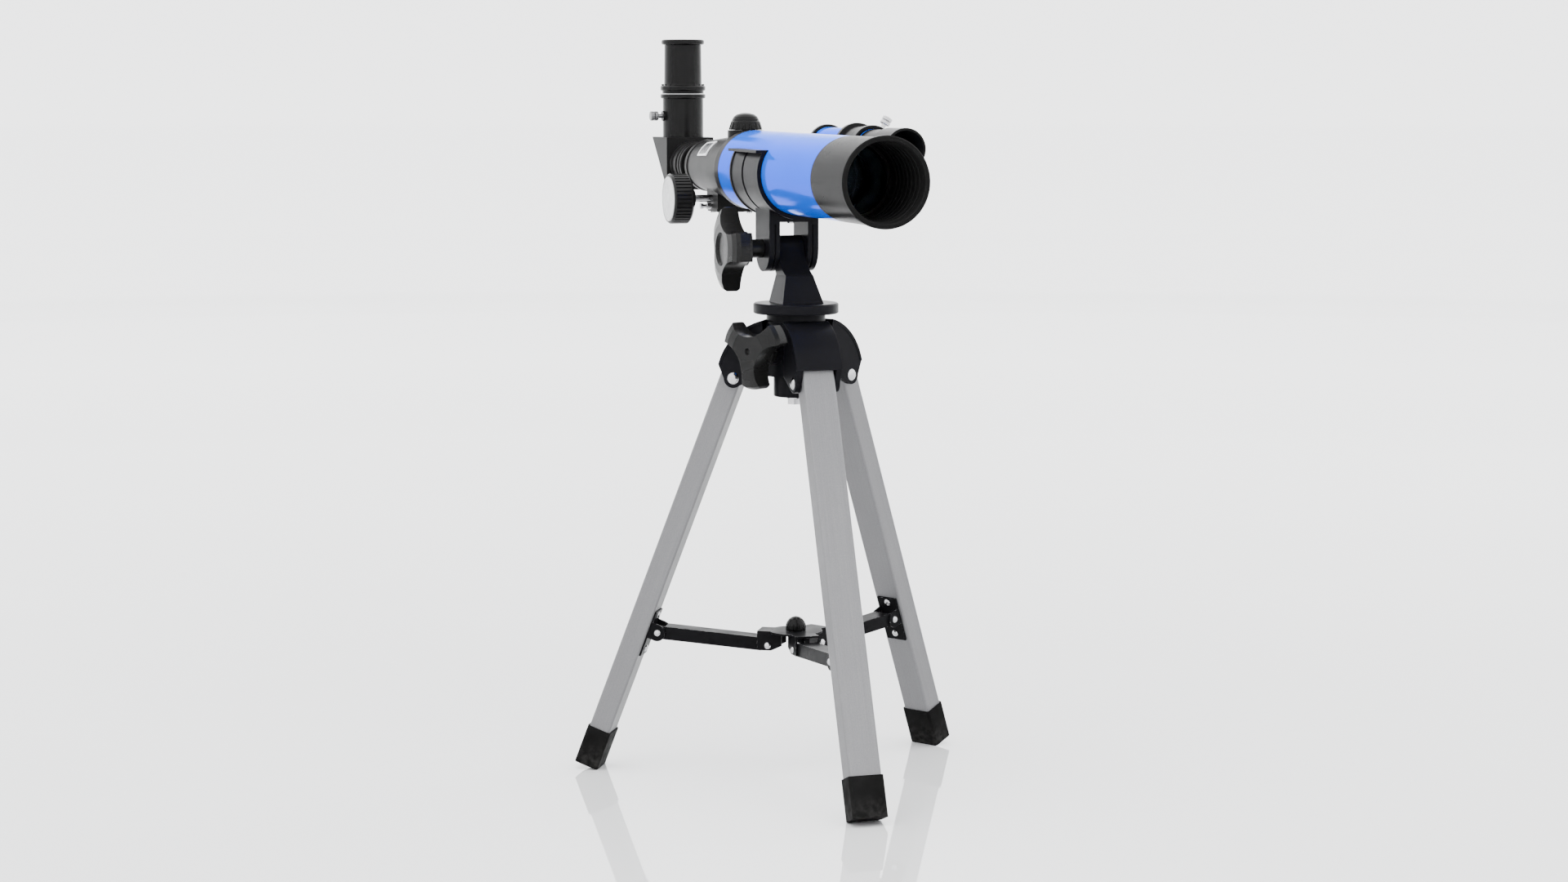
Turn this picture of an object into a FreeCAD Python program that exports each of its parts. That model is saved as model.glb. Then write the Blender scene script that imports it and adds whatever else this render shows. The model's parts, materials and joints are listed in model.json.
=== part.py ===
import FreeCAD, Part
import math
import os

V = FreeCAD.Vector
UP = V(0, 0, 1)

# Frame: floor at z = 0, azimuth axis on Z, the tube points towards -Y at rest.

# ---------------------------------------------------------------- clearances
RUN_GAP = 0.06            # radial gap of every shaft or slide in its bore
SEAT_GAP = 0.02           # gap between parts seated in each other
BODY_GAP = 0.35           # gap between faces of parts that move past each other
SCREW_HOLE_R = 1.1        # radius of the small screws' holes

# ---------------------------------------------------------------- optical tube
AXIS_Z = 397.5
TUBE_R = 26.6
TUBE_WALL = 1.0
TUBE_FRONT = -108.0
TUBE_REAR = 86.0
SHIELD_FRONT = -172.0
SHIELD_WALL = 2.0
SHIELD_LIP_R = TUBE_R + 1.4
SHIELD_LIP_WALL = 3.2
LENS_R = TUBE_R - 3.0
LENS_SEAT_LIP = 1.4
BAFFLE_APERTURES = (20.0, 16.5)
BAFFLE_POSITIONS = (-60.0, 20.0)

# ---------------------------------------------------------------- focuser
COLLAR_LENGTH = 10.0
HOUSING_REAR = 196.0
DRAW_R = 14.0
DRAW_BORE_R = DRAW_R - 1.4
HOUSING_FRONT_R = TUBE_R - 2.4
HOUSING_REAR_R = DRAW_R + 4.2
DRAW_FRONT = 76.0
DRAW_REAR = 226.0
DRAW_IN = 17.0
DRAW_OUT = 30.0
GEAR_MODULE = 0.8
PINION_TEETH = 14
PINION_WIDTH = 8.0
RACK_WIDTH = 6.0
RACK_FLAT = DRAW_R - 0.7
RACK_BACK = 1.3
PINION_Y = 143.0
SHAFT_R = 2.5
TENSION_R = 1.3
TENSION_DROP = 5.3
KNOB_R = 17.2
KNOB_INNER = 31.0
KNOB_THICK = 14.0
KNOB_CAP_R = 15.3
LOCK_Y = 109.2
LOCK_BASE_R = 12.2
LOCK_BASE_TOP = TUBE_R - 0.4
LOCK_STEM_R = 2.0

# ---------------------------------------------------------------- diagonal and eyepiece
DIAG_FRONT = 243.0
DIAG_SIZE = 37.5
DIAG_WIDTH = 35.0
DIAG_WALL = 2.2
EYE_Y = 261.0
EYE_BORE_R = 12.3
EYE_BARREL_LENGTH = 21.0
SOCKET_R = EYE_BORE_R + 2.4
SOCKET_TOP = 49.7
EYEPIECE_R = EYE_BORE_R + 1.3
EYEPIECE_TOP = 89.0
RING_R = EYE_BORE_R + 4.0
EYE_SCREW_Z = 34.0

# ---------------------------------------------------------------- finder
FINDER_OFFSET = TUBE_R + 17.8
FINDER_ANGLE = 66.6
FINDER_R = 11.4
FINDER_BORE_R = 10.4
FINDER_REAR = 58.0
FINDER_HOOD_R = 13.3
FINDER_FRONT = -95.0
SLEEVE_FRONT = -34.0
FINDER_FOOT_REAR = -10.5
FINDER_FOOT_FRONT = -50.0
FINDER_FOOT_WALL = 1.6
FINDER_SCREW_ROWS = (-38.5, -46.0)
FINDER_SCREW_Y = -30.5
FINDER_SCREW_R = 1.5
FINDER_SCREW_ANGLES = {"finder_screw_upper": -35.0, "finder_screw_outer": 85.0}

# ---------------------------------------------------------------- cradle and pedestal
PIVOT_Y = 18.9
PIVOT_Z = AXIS_Z - TUBE_R - 22.4
PIVOT_R = 3.0
EAR_INNER = 9.6
EAR_OUTER = 16.8
EAR_R = 15.0
SADDLE_FRONT = -9.0
SADDLE_REAR = 52.0
SADDLE_WALL = 2.0
SADDLE_LIP_Z = 15.6
SADDLE_LIP_X = {-1: TUBE_R + 3.4, 1: TUBE_R - 1.8}
WEB_BOTTOM = TUBE_R + 4.7
TONGUE_R = 8.3
DISC_R = 27.8
DISC_BOTTOM = 307.3
DISC_TOP = 314.0

# ---------------------------------------------------------------- lobed lock knobs
ALT_STAR = {"tip": 28.2, "valley": 14.0, "cut": 25.0, "dish": 11.0}
AZ_STAR = {"tip": 24.8, "valley": 9.2, "cut": 19.0, "dish": 2.2}
STAR_HUB_R = 11.2
STAR_HUB_LENGTH = 3.5
STAR_THICK = 14.0
ALT_KNOB_X = 28.0
ALT_KNOB_TURN = 65.0
AZ_KNOB_ANGLE = 210.0
AZ_KNOB_Z = 285.0
AZ_KNOB_START = 29.5
AZ_STEM_R = 3.0

# ---------------------------------------------------------------- tripod
NECK_R = 19.2
HUB_TOP = 303.0
HUB_CORE_R = 22.0
HUB_CORE_BOTTOM = 267.0
COLUMN_R = 14.6
COLUMN_BOTTOM = 253.0
AZ_BOLT_R = 4.0
HOOD_HALF = 15.4
HOOD_WALL = 1.8
EAR_WALL = 3.6
HINGE_R = 38.7
HINGE_Z = 265.0
HINGE_PIN_R = 2.0
HINGE_EAR_R = 6.2
LEG_LEAN = 20.8
LEG_WIDTH = 21.2
LEG_DEPTH = 14.4
LEG_WALL = 1.2
LEG_CORNER = 1.6
LEG_PIN_INSET = 4.6
LEG_TOP = 5.6
CAP_WALL = 1.0
CAP_HEIGHT = 26.5
CAP_FLOOR = 3.0
LEG_ANGLES = {"front": -90.0, "right": 30.0, "left": 150.0}

# ---------------------------------------------------------------- spreader
SPREAD_PIVOT_R = 17.4
SPREAD_PIVOT_Z = 88.2
ARM_PIVOT_R = 92.3
ARM_PIVOT_Z = 93.8
ARM_HALF = 6.6
ARM_HEIGHT = 8.6
ARM_WALL = 1.2
ARM_TIP_R = 2.8
ARM_END_R = 3.4
BRACKET_HALF = 8.1
BRACKET_WALL = 1.2
BRACKET_TOP = 9.6
BRACKET_DROP = 3.2
BRACKET_REACH = 7.0
FLANGE_START = 8.0
PLATE_ABOVE = 13.0
PLATE_BELOW = 19.0
RIVET_R = 1.5
RIVET_HEAD_R = 2.4
SPREAD_KNOB_R = 6.6


# ================================================================ solid helpers
def face_of(points):
    return Part.Face(Part.makePolygon(points + [points[0]]))


def turned_y(profile, z=AXIS_Z):
    """Solid of revolution about the Y axis from (radius, y) points."""
    face = face_of([V(r, y, 0) for r, y in profile])
    solid = face.revolve(V(0, 0, 0), V(0, 1, 0), 360)
    return solid.translated(V(0, 0, z))


def turned_z(profile):
    """Solid of revolution about the Z axis from (radius, z) points."""
    face = face_of([V(r, 0, z) for r, z in profile])
    return face.revolve(V(0, 0, 0), UP, 360)


def tube_y(outer, inner, y0, y1, z=AXIS_Z):
    return turned_y([(inner, y0), (outer, y0), (outer, y1), (inner, y1)], z)


def rod(radius, start, end):
    axis = end - start
    return Part.makeCylinder(radius, axis.Length, start, axis)


def box(x0, x1, y0, y1, z0, z1):
    return Part.makeBox(x1 - x0, y1 - y0, z1 - z0, V(x0, y0, z0))


def fuse_all(shapes):
    solid = shapes[0]
    if len(shapes) > 1:
        solid = shapes[0].multiFuse(shapes[1:])
    return solid.removeSplitter()


def turned_about(shape, centre, axis, angle):
    copy = shape.copy()
    copy.rotate(centre, axis, angle)
    return copy


def to_leg(shape, name):
    """Carry a shape built along +X round to one leg's direction."""
    return turned_about(shape, V(0, 0, 0), UP, LEG_ANGLES[name])


def rounded_bar(width, depth, corner, z0, z1):
    """Vertical bar, width along Y and depth along X, with rounded long edges."""
    bar = box(-depth / 2, depth / 2, -width / 2, width / 2, z0, z1)
    edges = [e for e in bar.Edges if abs(e.tangentAt(e.FirstParameter).z) > 0.9]
    return bar.makeFillet(corner, edges)


def save(shape, name):
    shape.exportStep(os.path.join("parts", name + ".step"))


# ================================================================ optical tube
def main_tube():
    """Tube with the screw holes for the cradle below and the finder's foot at the side."""
    tube = tube_y(TUBE_R, TUBE_R - TUBE_WALL, TUBE_FRONT, TUBE_REAR)
    for y in cradle_screw_rows():
        tube = tube.cut(rod(SCREW_HOLE_R, V(0, y, AXIS_Z - TUBE_R - 2), V(0, y, AXIS_Z - TUBE_R + 2)))
    for place, out in finder_screw_seats():
        tube = tube.cut(rod(SCREW_HOLE_R, place - out * 5, place))
    return tube


def cell_flange_front():
    return TUBE_FRONT - 2.0


def lens_front():
    return cell_flange_front() - 6.0


def objective_cell():
    inside = TUBE_R - TUBE_WALL - SEAT_GAP
    boss = TUBE_R - SHIELD_WALL - SEAT_GAP
    seat = LENS_R - LENS_SEAT_LIP
    front = cell_flange_front()
    nose = front - 14.0
    shoulder = TUBE_FRONT + 3.0
    bore = LENS_R + SEAT_GAP
    return turned_y([(seat, TUBE_FRONT + 10.0), (inside, TUBE_FRONT + 10.0), (inside, TUBE_FRONT),
                     (TUBE_R, TUBE_FRONT), (TUBE_R, front), (boss, front), (boss, nose),
                     (bore, nose), (bore, shoulder), (seat, shoulder)])


def objective_lenses():
    y = TUBE_FRONT + 3.0 - SEAT_GAP
    flint = turned_y([(0, y), (LENS_R, y), (LENS_R, y - 3.6), (LENS_R * 0.6, y - 2.6), (0, y - 2.2)])
    gap = 0.2
    crown = turned_y([(0, y - 2.2 - gap), (LENS_R * 0.6, y - 2.6 - gap), (LENS_R, y - 3.6 - gap),
                      (LENS_R, y - 6.4), (LENS_R * 0.7, y - 8.0), (LENS_R * 0.35, y - 8.8), (0, y - 9.1)])
    return Part.makeCompound([flint, crown])


def lens_retainer():
    y = TUBE_FRONT + 3.0 - 6.4 - 2 * SEAT_GAP
    r = LENS_R - SEAT_GAP
    return turned_y([(r - 1.6, y - 3.4), (r, y - 3.4), (r, y), (r - 1.6, y - 0.9)])


def dew_shield():
    rear = cell_flange_front() - SEAT_GAP
    bore = TUBE_R - SHIELD_WALL
    lip_bore = SHIELD_LIP_R - SHIELD_LIP_WALL
    lip = SHIELD_FRONT + 4.0
    profile = [(bore, rear), (TUBE_R + 0.1, rear), (TUBE_R + 0.3, lip + 1.0), (SHIELD_LIP_R, lip),
               (SHIELD_LIP_R, SHIELD_FRONT + 0.6), (SHIELD_LIP_R - 0.6, SHIELD_FRONT),
               (lip_bore + 0.5, SHIELD_FRONT), (lip_bore, SHIELD_FRONT + 0.5), (lip_bore, lip)]
    grooves = 6
    step = (rear - 17.0 - lip) / grooves
    for i in range(grooves):
        y = lip + i * step
        profile += [(bore, y + step * 0.2), (bore, y + step * 0.7), (bore - 0.5, y + step * 0.75),
                    (bore - 0.5, y + step * 0.95)]
    profile.append((bore, rear - 16.5))
    return turned_y(profile)


def tube_baffles():
    outer = TUBE_R - TUBE_WALL - SEAT_GAP
    rings = []
    for radius, y in zip(BAFFLE_APERTURES, BAFFLE_POSITIONS):
        rings.append(turned_y([(radius, y), (radius + 0.4, y - 0.4), (outer - 1.0, y - 0.4),
                               (outer - 1.0, y - 4.0), (outer, y - 4.0), (outer, y + 1.0), (radius, y + 1.0)]))
    return Part.makeCompound(rings)


# ================================================================ focuser
def rack_pitch():
    return RACK_FLAT + RACK_BACK + GEAR_MODULE


def pinion_radius():
    return GEAR_MODULE * PINION_TEETH / 2


def pinion_z():
    return AXIS_Z - rack_pitch() - pinion_radius()


def focuser_housing():
    collar_rear = TUBE_REAR + COLLAR_LENGTH
    guide = HOUSING_REAR - 46.0
    bore = DRAW_R + RUN_GAP
    cavity = TUBE_R - TUBE_WALL - 2.6
    shell = turned_y([(bore, HOUSING_REAR), (HOUSING_REAR_R - 0.8, HOUSING_REAR), (HOUSING_REAR_R, HOUSING_REAR - 0.8),
                      (HOUSING_REAR_R, HOUSING_REAR - 5.0), (HOUSING_REAR_R - 0.7, HOUSING_REAR - 5.6),
                      (HOUSING_FRONT_R, collar_rear), (TUBE_R - 0.6, collar_rear), (TUBE_R, collar_rear - 0.6),
                      (TUBE_R, TUBE_REAR), (TUBE_R - TUBE_WALL - SEAT_GAP, TUBE_REAR),
                      (TUBE_R - TUBE_WALL - SEAT_GAP, TUBE_REAR - 11.0), (cavity, TUBE_REAR - 11.0),
                      (cavity, collar_rear - 4.0), (bore + 1.6, guide), (bore, guide)])
    ahead = PINION_Y - 13.0
    behind = PINION_Y + 13.0
    boss = box(-13.5, 13.5, ahead, behind, pinion_z() - 7.0, AXIS_Z - 12.0)
    seat = rod(LOCK_BASE_R, V(0, LOCK_Y, AXIS_Z + 12.0), V(0, LOCK_Y, AXIS_Z + LOCK_BASE_TOP))
    body = fuse_all([shell, boss, seat])
    inside = turned_y([(0, ahead - 40.0), (cavity, ahead - 40.0), (cavity, collar_rear - 4.0), (bore + 1.6, guide),
                       (bore, guide), (bore, HOUSING_REAR + 1.0), (0, HOUSING_REAR + 1.0)])
    half = RACK_WIDTH / 2 + 0.4
    slot = box(-half, half, TUBE_REAR - 12.0, HOUSING_REAR + 1.0, AXIS_Z - rack_pitch() - 1.6, AXIS_Z - 10.0)
    gear_half = PINION_WIDTH / 2 + 0.4
    chamber_r = pinion_radius() + GEAR_MODULE + 0.5
    chamber = box(-gear_half, gear_half, PINION_Y - chamber_r, PINION_Y + chamber_r,
                  pinion_z() - 8.0, AXIS_Z - 12.5)
    shaft = rod(SHAFT_R + RUN_GAP, V(-14, PINION_Y, pinion_z()), V(14, PINION_Y, pinion_z()))
    stem = rod(LOCK_STEM_R + RUN_GAP, V(0, LOCK_Y, AXIS_Z + 10.0), V(0, LOCK_Y, AXIS_Z + 30.0))
    body = body.cut(inside).cut(slot).cut(chamber).cut(shaft).cut(stem)
    for x, y in cover_screw_places():
        body = body.cut(rod(SCREW_HOLE_R, V(x, y, pinion_z() - 8.0), V(x, y, pinion_z() - 1.0)))
    for side in (-1, 1):
        body = body.cut(rod(TENSION_R + SEAT_GAP, *tension_axis(side, 8.0, 20.0)))
    return body


def cover_screw_places():
    return [(x, PINION_Y + y) for x in (-10.2, 10.2) for y in (-9.6, 9.6)]


def pinion_cover():
    top = pinion_z() - 7.0 - SEAT_GAP
    plate = box(-13.5, 13.5, PINION_Y - 13.0, PINION_Y + 13.0, top - 2.0, top)
    edges = [e for e in plate.Edges if abs(e.tangentAt(e.FirstParameter).z) > 0.9]
    plate = plate.makeFillet(2.0, edges)
    for x, y in cover_screw_places():
        plate = plate.cut(rod(SCREW_HOLE_R, V(x, y, top - 3.0), V(x, y, top + 1.0)))
    return plate


def pan_screw(place, outward, head_r, length):
    """Slotted pan-head screw; place is the underside of its head."""
    out = V(outward).normalize()
    shank = rod(1.0, place - out * length, place + out * 0.2)
    head = rod(head_r, place, place + out * 1.1)
    side = out.cross(V(0.31, 0.87, 0.38)).normalize()
    slot = Part.makeBox(head_r * 3, 0.5, 1.0, V(-head_r * 1.5, -0.25, 0))
    slot.Placement = FreeCAD.Placement(place + out * 0.6, FreeCAD.Rotation(side, out.cross(side), out, "ZXY"))
    return shank.fuse(head).cut(slot).removeSplitter()


def tension_axis(side, x0, x1):
    z = pinion_z() - TENSION_DROP
    return V(side * x0, PINION_Y, z), V(side * x1, PINION_Y, z)


def tension_screw(side):
    """Screw with a long bare shank and a knurled collar, in the side of the pinion's boss."""
    screw = rod(TENSION_R, *tension_axis(side, 9.0, 21.5))
    collar = rod(TENSION_R + 1.0, *tension_axis(side, 15.0, 17.6))
    head = rod(TENSION_R + 0.6, *tension_axis(side, 20.3, 22.3))
    return fuse_all([screw, collar, head])


def body_screws():
    screws = []
    under = pinion_z() - 9.0 - 2 * SEAT_GAP
    for x, y in cover_screw_places():
        screws.append(pan_screw(V(x, y, under), V(0, 0, -1), 1.9, 6.0))
    for place, out in finder_screw_seats():
        screws.append(pan_screw(place, out, 1.9, 4.5))
    for side in (-1, 1):
        screws.append(tension_screw(side))
    for y in cradle_screw_rows():
        screws.append(pan_screw(V(0, y, AXIS_Z - WEB_BOTTOM - SEAT_GAP), V(0, 0, -1), 2.4, 8.0))
    return Part.makeCompound(screws)


def drawtube():
    tube = tube_y(DRAW_R, DRAW_BORE_R, DRAW_FRONT, DRAW_REAR)
    half = RACK_WIDTH / 2 + 0.1
    flat = box(-half, half, rack_start() - 0.1, rack_end() + 0.1, AXIS_Z - DRAW_R - 1, AXIS_Z - RACK_FLAT)
    return tube.cut(flat)


def rack_start():
    return PINION_Y - DRAW_OUT - 12.0


def rack_end():
    return PINION_Y + DRAW_IN + 12.0


def rack():
    """Straight toothed bar with stub teeth, a tooth space centred over the pinion."""
    pitch = math.pi * GEAR_MODULE
    add = 0.8 * GEAR_MODULE
    ded = GEAR_MODULE
    slope = math.tan(math.radians(20.0))
    half = pitch / 4 - 0.06
    top = AXIS_Z - RACK_FLAT - SEAT_GAP
    line = AXIS_Z - rack_pitch()
    points = [V(0, rack_start(), top), V(0, rack_start(), line + ded)]
    first = math.ceil((rack_start() + 1.2 - PINION_Y) / pitch - 0.5)
    last = math.floor((rack_end() - 1.2 - PINION_Y) / pitch - 0.5)
    for i in range(first, last + 1):
        y = PINION_Y + (i + 0.5) * pitch
        points.append(V(0, y - half - ded * slope, line + ded))
        points.append(V(0, y - half + add * slope, line - add))
        points.append(V(0, y + half - add * slope, line - add))
        points.append(V(0, y + half + ded * slope, line + ded))
    points.append(V(0, rack_end(), line + ded))
    points.append(V(0, rack_end(), top))
    bar = face_of(points).extrude(V(RACK_WIDTH, 0, 0))
    return bar.translated(V(-RACK_WIDTH / 2, 0, 0))


def drawtube_collar():
    bore = DRAW_R + SEAT_GAP
    y = HOUSING_REAR + DRAW_IN + BODY_GAP
    return turned_y([(bore, y), (15.2, y), (15.9, y + 0.7), (15.9, y + 3.6), (15.0, y + 4.2), (15.0, y + 6.0),
                     (15.9, y + 6.6), (15.9, y + 9.8), (15.2, y + 10.5), (bore, y + 10.5)])


def involute(base, radius):
    angle = math.acos(base / radius)
    return math.tan(angle) - angle


def pinion():
    """Pinion and its shaft as one turned piece, a tooth pointing straight up."""
    r = pinion_radius()
    base = r * math.cos(math.radians(20.0))
    tip = r + 0.8 * GEAR_MODULE
    root = r - 1.05 * GEAR_MODULE
    half = math.pi / (2 * PINION_TEETH) - 0.06 / r
    flank = []
    for k in range(5):
        radius = base + 0.01 + (tip - base - 0.01) * k / 4
        flank.append((radius, half + involute(base, r) - involute(base, radius)))
    root_half = flank[0][1] - 0.02
    outline = []
    for i in range(PINION_TEETH):
        mid = math.pi / 2 + i * 2 * math.pi / PINION_TEETH
        outline.append((root, mid - root_half))
        outline += [(radius, mid - a) for radius, a in flank]
        outline += [(radius, mid + a) for radius, a in reversed(flank)]
        outline.append((root, mid + root_half))
    points = [V(0, rad * math.cos(a), rad * math.sin(a)) for rad, a in outline]
    gear = face_of(points).extrude(V(PINION_WIDTH, 0, 0)).translated(V(-PINION_WIDTH / 2, 0, 0))
    reach = KNOB_INNER + KNOB_THICK - 3.0
    shaft = rod(SHAFT_R, V(-reach, 0, 0), V(reach, 0, 0))
    return gear.fuse(shaft).removeSplitter().translated(V(0, PINION_Y, pinion_z()))


def focus_knob(side):
    """Ribbed knob round the X axis; the outer face carries a turned metal disc."""
    inner = KNOB_INNER
    outer = KNOB_INNER + KNOB_THICK
    profile = [(SHAFT_R + SEAT_GAP, inner - 4.0), (6.0, inner - 4.0), (6.0, inner), (KNOB_R - 1.4, inner),
               (KNOB_R, inner + 1.4), (KNOB_R, outer - 1.2), (KNOB_R - 1.0, outer), (KNOB_CAP_R + 0.1, outer),
               (KNOB_CAP_R + 0.1, outer - 1.3), (6.0, outer - 1.3), (6.0, outer - 2.8), (SHAFT_R + SEAT_GAP, outer - 2.8)]
    face = face_of([V(x, r, 0) for r, x in profile])
    knob = face.revolve(V(0, 0, 0), V(1, 0, 0), 360)
    ribs = 40
    cuts = []
    for i in range(ribs):
        groove = box(inner + 1.8, outer - 1.5, -0.65, 0.65, KNOB_R - 0.8, KNOB_R + 1.0)
        cuts.append(turned_about(groove, V(0, 0, 0), V(1, 0, 0), 360.0 * i / ribs))
    knob = knob.cut(Part.makeCompound(cuts))
    return seat_on_shaft(knob, side)


def seat_on_shaft(shape, side):
    turned = turned_about(shape, V(0, 0, 0), UP, 0 if side > 0 else 180)
    return turned.translated(V(0, PINION_Y, pinion_z()))


def focus_knobs():
    return Part.makeCompound([focus_knob(1), focus_knob(-1)])


def knob_cap(side):
    outer = KNOB_INNER + KNOB_THICK
    profile = [(0, outer - 1.3 + SEAT_GAP), (KNOB_CAP_R, outer - 1.3 + SEAT_GAP), (KNOB_CAP_R, outer + 0.1),
               (KNOB_CAP_R - 1.0, outer + 0.5), (KNOB_CAP_R - 2.4, outer + 0.1), (4.0, outer - 0.3), (0, outer - 0.1)]
    face = face_of([V(x, r, 0) for r, x in profile])
    return seat_on_shaft(face.revolve(V(0, 0, 0), V(1, 0, 0), 360), side)


def knob_caps():
    return Part.makeCompound([knob_cap(1), knob_cap(-1)])


def lock_knob():
    """Domed knob with a fluted skirt and a screw stem that reaches the drawtube."""
    bottom = LOCK_BASE_TOP + BODY_GAP
    dome = turned_z([(0, bottom), (11.3, bottom), (11.3, bottom + 0.9), (9.9, bottom + 5.4), (9.3, bottom + 6.0),
                     (9.0, bottom + 7.2), (7.9, bottom + 9.0), (6.0, bottom + 10.4), (3.2, bottom + 11.3),
                     (0, bottom + 11.6)])
    flutes = []
    for i in range(16):
        cut = rod(1.1, V(11.9, 0, bottom - 1), V(10.6, 0, bottom + 6.2))
        flutes.append(turned_about(cut, V(0, 0, 0), UP, 22.5 * i))
    dome = dome.cut(Part.makeCompound(flutes))
    stem = rod(LOCK_STEM_R, V(0, 0, DRAW_R + BODY_GAP), V(0, 0, bottom + 1.0))
    return dome.fuse(stem).removeSplitter().translated(V(0, LOCK_Y, AXIS_Z))


def label_plate():
    """Thin blank plate with a raised rim, wrapped on the tapering housing."""
    y0 = 137.0
    y1 = 163.0
    slope = (HOUSING_FRONT_R - HOUSING_REAR_R + 0.7) / (HOUSING_REAR - 5.6 - TUBE_REAR - COLLAR_LENGTH)

    def surface(y):
        return HOUSING_FRONT_R - slope * (y - TUBE_REAR - COLLAR_LENGTH)

    def sheet(lift, thick, ya, yb, half):
        low = surface(ya) + lift
        high = surface(yb) + lift
        face = face_of([V(-low, ya, 0), V(-low - thick, ya, 0), V(-high - thick, yb, 0), V(-high, yb, 0)])
        return turned_about(face, V(0, 0, 0), V(0, 1, 0), 40.0 - half).revolve(V(0, 0, 0), V(0, 1, 0), 2 * half)

    plate = sheet(SEAT_GAP, 0.7, y0, y1, 17.0)
    plate = plate.cut(sheet(0.45, 1.0, y0 + 2.0, y1 - 2.0, 12.5))
    return plate.translated(V(0, 0, AXIS_Z))


# ================================================================ diagonal and eyepiece
def diagonal_profile(inset):
    y0 = DIAG_FRONT + inset
    top = DIAG_SIZE / 2 - inset
    back = inset * (1 + math.sqrt(2))
    tail = DIAG_FRONT + DIAG_SIZE - back
    low = -DIAG_SIZE / 2 + back
    return [V(0, y0, low), V(0, y0, top), V(0, tail, top), V(0, tail + 0.01, top - 0.8 + 0.3 * inset)]


def diagonal_housing():
    half = DIAG_WIDTH / 2
    shell = face_of([V(-half, p.y, p.z) for p in diagonal_profile(0.0)]).extrude(V(DIAG_WIDTH, 0, 0))
    inner = face_of([V(-half + DIAG_WALL, p.y, p.z) for p in diagonal_profile(DIAG_WALL)])
    shell = shell.cut(inner.extrude(V(DIAG_WIDTH - 2 * DIAG_WALL, 0, 0)))
    front = rod(DRAW_BORE_R - RUN_GAP + SEAT_GAP, V(0, DIAG_FRONT - 1, 0), V(0, DIAG_FRONT + DIAG_WALL + 1, 0))
    top = rod(SOCKET_R - 1.5 + SEAT_GAP, V(0, EYE_Y, DIAG_SIZE / 2 - DIAG_WALL - 1), V(0, EYE_Y, DIAG_SIZE / 2 + 1))
    return shell.cut(front).cut(top).translated(V(0, 0, AXIS_Z))


def diagonal_mirror():
    """Flat mirror just inside the sloping back wall."""
    inset = DIAG_WALL + 0.05
    low, _, tail, _ = diagonal_profile(inset)
    along = V(0, tail.y - low.y, tail.z - low.z).normalize()
    inward = V(0, -along.z, along.y)
    a = V(0, low.y, low.z) + along * 4.0
    b = V(0, tail.y, tail.z) - along * 4.0
    plate = face_of([a, b, b + inward * 1.6, a + inward * 1.6]).extrude(V(DIAG_WIDTH - 2 * inset - 3.0, 0, 0))
    return plate.translated(V(-(DIAG_WIDTH - 2 * inset - 3.0) / 2, 0, AXIS_Z))


def diagonal_nosepiece():
    r = DRAW_BORE_R - RUN_GAP
    flange = DRAW_REAR + BODY_GAP
    return turned_y([(r - 1.3, 203.0), (r - 0.5, 203.0), (r, 203.8), (r, flange), (15.4, flange), (16.0, flange + 0.7),
                     (16.0, flange + 4.4), (15.1, flange + 5.0), (15.1, flange + 11.0), (16.0, flange + 11.6),
                     (16.0, DIAG_FRONT - SEAT_GAP), (r, DIAG_FRONT - SEAT_GAP), (r, DIAG_FRONT + DIAG_WALL),
                     (r - 1.3, DIAG_FRONT + DIAG_WALL)])


def eyepiece_socket():
    foot = DIAG_SIZE / 2
    neck = SOCKET_R - 1.5
    body = turned_z([(EYE_BORE_R, foot - DIAG_WALL), (neck, foot - DIAG_WALL), (neck, foot + SEAT_GAP),
                     (SOCKET_R, foot + SEAT_GAP), (SOCKET_R, SOCKET_TOP - 3.4), (RING_R - 0.5, SOCKET_TOP - 3.0),
                     (RING_R, SOCKET_TOP - 2.4), (RING_R, SOCKET_TOP - 0.6), (RING_R - 0.6, SOCKET_TOP),
                     (EYE_BORE_R, SOCKET_TOP)])
    boss = rod(3.6, V(-SOCKET_R - 0.9, 0, EYE_SCREW_Z), V(-EYE_BORE_R - 0.6, 0, EYE_SCREW_Z))
    hole = rod(1.5 + RUN_GAP, V(-SOCKET_R - 3, 0, EYE_SCREW_Z), V(-EYE_BORE_R + 2, 0, EYE_SCREW_Z))
    return body.fuse(boss).cut(hole).removeSplitter().translated(V(0, EYE_Y, AXIS_Z))


def thumbscrew(stem_r, stem_length, head_r, head_length):
    """Knurled screw along +Z: the stem starts at 0, the head at the stem's end."""
    body = turned_z([(0, 0), (stem_r, 0), (stem_r, stem_length), (head_r - 0.4, stem_length),
                     (head_r, stem_length + 0.4), (head_r, stem_length + head_length * 0.42),
                     (head_r - 0.9, stem_length + head_length * 0.5), (head_r, stem_length + head_length * 0.58),
                     (head_r, stem_length + head_length - 0.4), (head_r - 0.4, stem_length + head_length),
                     (0, stem_length + head_length)])
    cuts = []
    for i in range(14):
        notch = rod(0.35, V(head_r + 0.1, 0, stem_length - 1), V(head_r + 0.1, 0, stem_length + head_length + 1))
        cuts.append(turned_about(notch, V(0, 0, 0), UP, 360.0 * i / 14))
    return body.cut(Part.makeCompound(cuts))


def eyepiece_screw():
    screw = thumbscrew(1.5, 6.4, 3.4, 5.6)
    screw = turned_about(screw, V(0, 0, 0), V(0, 1, 0), -90)
    return screw.translated(V(-EYE_BORE_R - BODY_GAP, EYE_Y, AXIS_Z + EYE_SCREW_Z))


def eyepiece_base():
    return SOCKET_TOP + BODY_GAP


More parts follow.
